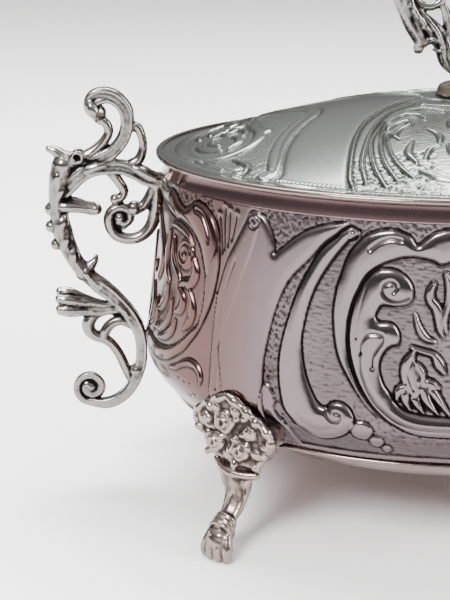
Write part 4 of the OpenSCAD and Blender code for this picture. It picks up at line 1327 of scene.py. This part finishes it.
# Plain polished parts show the room clearly; their light rosy tone is a painted reflection of red
# surroundings.
PLAIN_SILVER = silver("plain_silver", "917577", "3F2E2B", 0.12, 0.28, dents=0.000002)
# The underside is a deeper rose brown than the wall.
BOTTOM_SILVER = silver("bottom_silver", "7C5854", "3A2826", 0.16, 0.32, dents=0.000004)
# The turned boss has kept a brownish lacquer.
BOSS_SILVER = silver("boss_silver", "7C7264", "2E2A22", 0.14, 0.3, dents=0.000002)
# Castings: high parts rubbed bright, hollows left almost black.
CAST_SILVER = silver("cast_silver", "7F7975", "12100F", 0.17, 0.5, dents=0.00008, grime=1.6,
                     mottle=0.9)
# The feet are rubbed less and browner, with an even brown film between the roses.
FOOT_SILVER = silver("foot_silver", "8E807A", "2C2523", 0.18, 0.48, dents=0.00008, grime=1.25,
                     mottle=0.7)
# Drawn wire is the smoothest of the metal.
WIRE_SILVER = silver("drawn_wire", "746864", "34302E", 0.18, 0.32, dents=0.000004)
# Plated screw hardware under the lid: grey and even.
SCREW_STEEL = silver("plated_steel", "9A9A98", "4C4C4C", 0.3, 0.45)


def finish_piece(obj, body, slot, material, *nodes):
    """Gives a piece its metal and its body, and hides the plain pieces it stands for."""
    obj.data.materials.clear()
    obj.data.materials.append(material)
    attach(obj, body)
    if nodes:
        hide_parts(*nodes)
    return obj


# ---------------------------------------------------------------- the pieces in place

for piece in wall_pieces():
    finish_piece(piece, "bowl", "sheet_silver", BODY_SILVER, "bowl_wall")
for piece in lid_pieces():
    finish_piece(piece, "lid", "lid_silver", LID_SILVER, "lid_dome")

finish_piece(neck_piece(), "bowl", "sheet_silver", PLAIN_SILVER, "neck_band")
finish_piece(bottom_piece(), "bowl", "sheet_silver", BOTTOM_SILVER, "bowl_bottom")
finish_piece(bottom_marks(), "bowl", "sheet_silver", PLAIN_SILVER)
border_a = float(wall_half_length(BORDER_Z + 0.3))
finish_piece(wire_piece("border", border_a - 0.2, BORDER_Z + 0.1, 0.5, 0.6), "bowl",
             "drawn_wire", WIRE_SILVER, "border_wire")
wire_low, wire_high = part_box("lid_edge_wire")
wire_mid = (wire_low.z + wire_high.z) / 2 / MM
wire_up = (wire_high.z - wire_low.z) / 2 / MM
finish_piece(wire_piece("lid_edge", LID_A - 0.85, wire_mid, 0.85, wire_up), "lid",
             "drawn_wire", WIRE_SILVER, "lid_edge_wire")
finish_piece(collar_piece(), "lid", "sheet_silver", PLAIN_SILVER, "lid_collar")
finish_piece(boss_piece(), "lid", "cast_silver", BOSS_SILVER, "finial_boss")

handle = handle_piece()
mark_recesses(handle)
finish_piece(mirrored(handle, "handle_left_cast", -1, 1), "bowl", "cast_silver", CAST_SILVER,
             "handle_left")
finish_piece(handle, "bowl", "cast_silver", CAST_SILVER, "handle_right")

finial = finial_piece()
mark_recesses(finial)
finish_piece(finial, "lid", "cast_silver", CAST_SILVER, "finial")

foot = foot_piece()
mark_recesses(foot)
for name, sx, sy in (("front_left", -1, -1), ("front_right", 1, -1), ("back_left", -1, 1)):
    finish_piece(mirrored(foot, f"foot_{name}_cast", sx, sy), "bowl", "cast_silver", FOOT_SILVER,
                 f"foot_{name}")
finish_piece(foot, "bowl", "cast_silver", FOOT_SILVER, "foot_back_right")

for screw in ("finial_stud", "finial_washer", "finial_nut"):
    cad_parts[screw].data.materials.clear()
    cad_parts[screw].data.materials.append(SCREW_STEEL)


# ---------------------------------------------------------------- studio

LIGHT_AIM = (0, 0, 0.06)


def studio_light(name, place, power, wide, high):
    lamp = bpy.data.lights.new(name, "AREA")
    lamp.shape = "RECTANGLE"
    lamp.size = wide
    lamp.size_y = high
    lamp.energy = power
    obj = bpy.data.objects.new(name, lamp)
    bpy.context.scene.collection.objects.link(obj)
    obj.location = place
    obj.rotation_euler = (Vector(LIGHT_AIM) - Vector(place)).to_track_quat("-Z", "Y").to_euler()
    return obj


deselect()
bpy.ops.mesh.primitive_plane_add(size=30.0, location=(0, 0, 0))
floor = bpy.context.object
floor.name = "floor"
cloth = bpy.data.materials.new("pale_floor")
cloth.use_nodes = True
cloth.node_tree.nodes["Principled BSDF"].inputs["Base Color"].default_value = paint("FBFBFA")
cloth.node_tree.nodes["Principled BSDF"].inputs["Roughness"].default_value = 0.9
floor.data.materials.append(cloth)

studio_light("key", (-0.6, -0.9, 0.95), 32.0, 0.45, 0.45)
studio_light("fill", (0.95, -0.5, 0.55), 15.0, 0.25, 0.7)
studio_light("top", (0.0, 0.35, 1.1), 38.0, 1.0, 0.5)

world = bpy.data.worlds.new("studio")
bpy.context.scene.world = world
world.use_nodes = True
sky = world.node_tree
sky.nodes.clear()
look = add_node(sky, "ShaderNodeTexCoord").outputs["Generated"]
up = add_node(sky, "ShaderNodeSeparateXYZ", Vector=look).outputs["Z"]
shade = add_node(sky, "ShaderNodeMapRange", {"interpolation_type": "SMOOTHSTEP"}, Value=up,
                 From_Min=0.0, From_Max=0.75, To_Min=0.16, To_Max=1.15).outputs[0]
air = add_node(sky, "ShaderNodeBackground", Color=paint("FFFFFF"), Strength=shade)
add_node(sky, "ShaderNodeOutputWorld", Surface=air.outputs[0])

lens = bpy.data.cameras.new("camera")
lens.lens = 76.53
lens.sensor_width = 36.0
camera = bpy.data.objects.new("camera", lens)
bpy.context.scene.collection.objects.link(camera)
camera.location = (-0.07285, -0.33262, 0.16031)
camera.rotation_euler = (math.pi / 2 - 0.312, 0.003, -0.028)
bpy.context.scene.camera = camera
